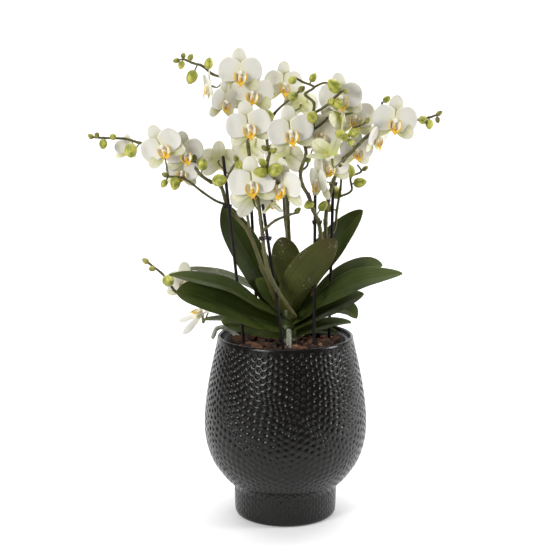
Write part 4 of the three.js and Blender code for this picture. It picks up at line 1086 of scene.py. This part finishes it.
def add_lip(shape, place, scale):
    """The lip: two upright wings in a U round the column, an orange anchor below them, and a callus."""
    def line(points, side=1):
        return [place @ (Vector((side * x, y, z)) * scale) for x, y, z in points]

    for side in (-1, 1):
        root = line([[1, -1.5, -9], [2.8, -1.5, -7.6], [3.4, -1.5, -4.2], [2.6, -1.5, -1]], side)
        margin = line([[1.4, -6.6, -11.4], [5.2, -7.6, -9.8], [7, -7, -4.6], [5.4, -5.6, 0.6]], side)
        add_wing(shape, root, margin, 0.35 * scale * side)
        radii = [scale * (0.35 + 0.4 * sin(pi * k / 16)) for k in range(17)]
        add_tube(shape, points_along(margin, 16), radii, 8, LIP_EDGE)
        curl = line([[0.4, -10.2, -14.2], [1.6, -11.6, -15.6], [3.4, -11.4, -15.2], [4, -10, -13.8]], side)
        radii = [0.34 * scale * (1.1 - k / 16) for k in range(13)]
        add_tube(shape, points_along(curl, 12), radii, 8, LIP_MIDDLE)
    throat = line([[0, -0.6, -1.5], [0, -1.6, -5], [0, -2.2, -8.6]])
    add_tube(shape, points_along(throat, 8), [scale * (2.4 + 0.1 * k) for k in range(9)], 14, LIP_SIDE)
    middle = line([[0, -2.4, -8.6], [0, -6, -10], [0, -9, -12.2], [0, -10.6, -15]])
    add_anchor(shape, middle, 9.6 * scale, place.to_3x3() @ Vector((0, -0.75, 0.65)), 0.4 * scale)
    callus = line([[0, -3, -6.6], [0, -5.4, -7.6], [0, -6.8, -9]])
    radii = [scale * (1 + 0.7 * sin(pi * k / 8)) for k in range(9)]
    add_tube(shape, points_along(callus, 8), radii, 12, CALLUS)


def add_wing(shape, root, margin, thick):
    """A thin sheet between two curves."""
    def spot(u, t, side):
        low, high = route(root, t), route(margin, t)
        normal = (high - low).cross(heading(margin, t)).normalized()
        return low.lerp(high, (u + 1) / 2) + normal * (side * thick / 2)

    add_blade(shape, 6, 12, spot, (LIP_SIDE, LIP_SIDE))


def anchor_width(t):
    """The middle lobe's half width as a share: a narrow neck, two points, and a short tip."""
    stops = [[0, 0.32], [0.42, 0.3], [0.62, 1], [0.78, 0.5], [1, 0]]
    for (low, a), (high, b) in zip(stops, stops[1:]):
        if t <= high:
            return a + (b - a) * smooth(low, high, t)
    return 0


def add_anchor(shape, path, width, upper, thick):
    def spot(u, t, side):
        middle, across, normal = path_frame(path, t, upper)
        half = width / 2 * anchor_width(t)
        lift = 0.3 * abs(u) * half + side * thick * (1 - 0.5 * abs(u))
        return middle + across * u * half + normal * lift

    add_blade(shape, 10, 14, spot, (LIP_MIDDLE, LIP_MIDDLE))


def add_column(shape, place, scale):
    """The column and its cap, over the lip."""
    middle = [[0, 1.6, 0.2], [0, -2, 0.3], [0, -5, 0], [0, -7, -1]]
    path = [place @ (Vector(point) * scale) for point in middle]
    radii = [2.2, 2.2, 2.1, 2, 1.9, 1.9, 2, 2.2, 2.3, 2.3, 2.1, 1.6]
    add_tube(shape, points_along(path, 11), [radius * scale for radius in radii], 18, COLUMN)


def make_blooms():
    draw = random.Random(21)
    for number in dict.fromkeys(bloom[0] for bloom in BLOOMS):
        shape = Shape()
        for _, _, at, turns, size, *state in [bloom for bloom in BLOOMS if bloom[0] == number]:
            add_bloom(shape, bloom_place(at, turns), size / BLOOM_SPAN, "".join(state), draw)
        make(f"bloom_{number:02d}", shape)


def add_bloom(shape, place, scale, state, draw):
    half_open = state == "half open"
    outer, inner, narrow = HALF_OPEN if half_open else (0, 0, 1)
    back = YOUNG_BACK if half_open else BACK
    if state == "withered":
        for lobe in WITHERED:
            add_lobe(shape, place, scale, lobe, 0, 1, 0, WITHERED_LOOK, (PETAL, PETAL), draw)
    else:
        for lobe, face in zip(SEPALS, (SEPAL, LATERAL, LATERAL)):
            add_lobe(shape, place, scale, lobe, outer, narrow, SEPAL_BACK, SEPAL_LOOK, (face, back), draw)
        for lobe in PETALS:
            add_lobe(shape, place, scale, lobe, inner, narrow, PETAL_BACK, PETAL_LOOK, (PETAL, back), draw)
    add_column(shape, place, scale)
    add_lip(shape, place, scale * (HALF_OPEN_LIP if half_open else 1))


def make_stage():
    """A floor that turns up into a backdrop: pale near the pot and behind it, grey further in front. The
    pale part glows a little, painted light that lightens the pot's shadow on it.
    """
    turns = [radians(90 * k / 16) for k in range(17)]
    bend = [(BEND_START + BEND_RADIUS * sin(turn), BEND_RADIUS - BEND_RADIUS * cos(turn)) for turn in turns]
    profile = [(-1.6, 0), *bend, (BEND_START + BEND_RADIUS, 3.2)]
    mesh = bpy.data.meshes.new("floor")
    points = [(x, y, z - PAPER_DROP) for y, z in profile for x in (-3.2, 3.2)]
    faces = [(2 * k, 2 * k + 1, 2 * k + 3, 2 * k + 2) for k in range(len(profile) - 1)]
    mesh.from_pydata(points, [], faces)
    mesh.polygons.foreach_set("use_smooth", [True] * len(faces))
    paint = Paint("paper", 0.85)
    place = paint.add("ShaderNodeSeparateXYZ", {0: paint.add("ShaderNodeTexCoord", {}).outputs["Object"]})
    near = paint.grade(place.outputs["Y"], -0.55, -0.15)
    paint.colour = paint.mix(near, (0.42, 0.42, 0.42), (0.9, 0.9, 0.9))
    # Painted light: the pale part of the floor glows a little, so the pot's shadow on it stays light.
    paint.set("Emission Color", paint.mix(near, (0, 0, 0), (1, 1, 1)))
    paint.set("Emission Strength", 0.2)
    mesh.materials.append(paint.finish())
    add_object("floor", mesh)


def add_light(name, place, aim, size, power):
    light = bpy.data.lights.new(name, "AREA")
    light.shape = "RECTANGLE"
    light.size, light.size_y = size
    light.energy = power
    lamp = add_object(name, light)
    lamp.location = place
    lamp.rotation_euler = (Vector(aim) - Vector(place)).to_track_quat("-Z", "Y").to_euler()


def light_studio():
    world = bpy.data.worlds.new("studio")
    world.use_nodes = True
    background = world.node_tree.nodes["Background"]
    background.inputs["Color"].default_value = (1, 1, 1, 1)
    background.inputs["Strength"].default_value = 0.1
    bpy.context.scene.world = world
    bpy.context.scene.view_settings.view_transform = "Standard"
    for lamp in LAMPS:
        add_light(*lamp)


def set_camera():
    lens = bpy.data.cameras.new("camera")
    lens.lens = LENS
    lens.sensor_width = 36
    camera = add_object("camera", lens)
    camera.location = CAMERA_PLACE
    camera.rotation_euler = (radians(CAMERA_TILT), 0, 0)
    bpy.context.scene.camera = camera


make_pot()
make_nursery_pot()
make_bark()
make_stakes()
make_clips()
make_roots()
make_crowns()
make_leaves()
make_spikes()
make_blooms()
make_stage()
light_studio()
set_camera()
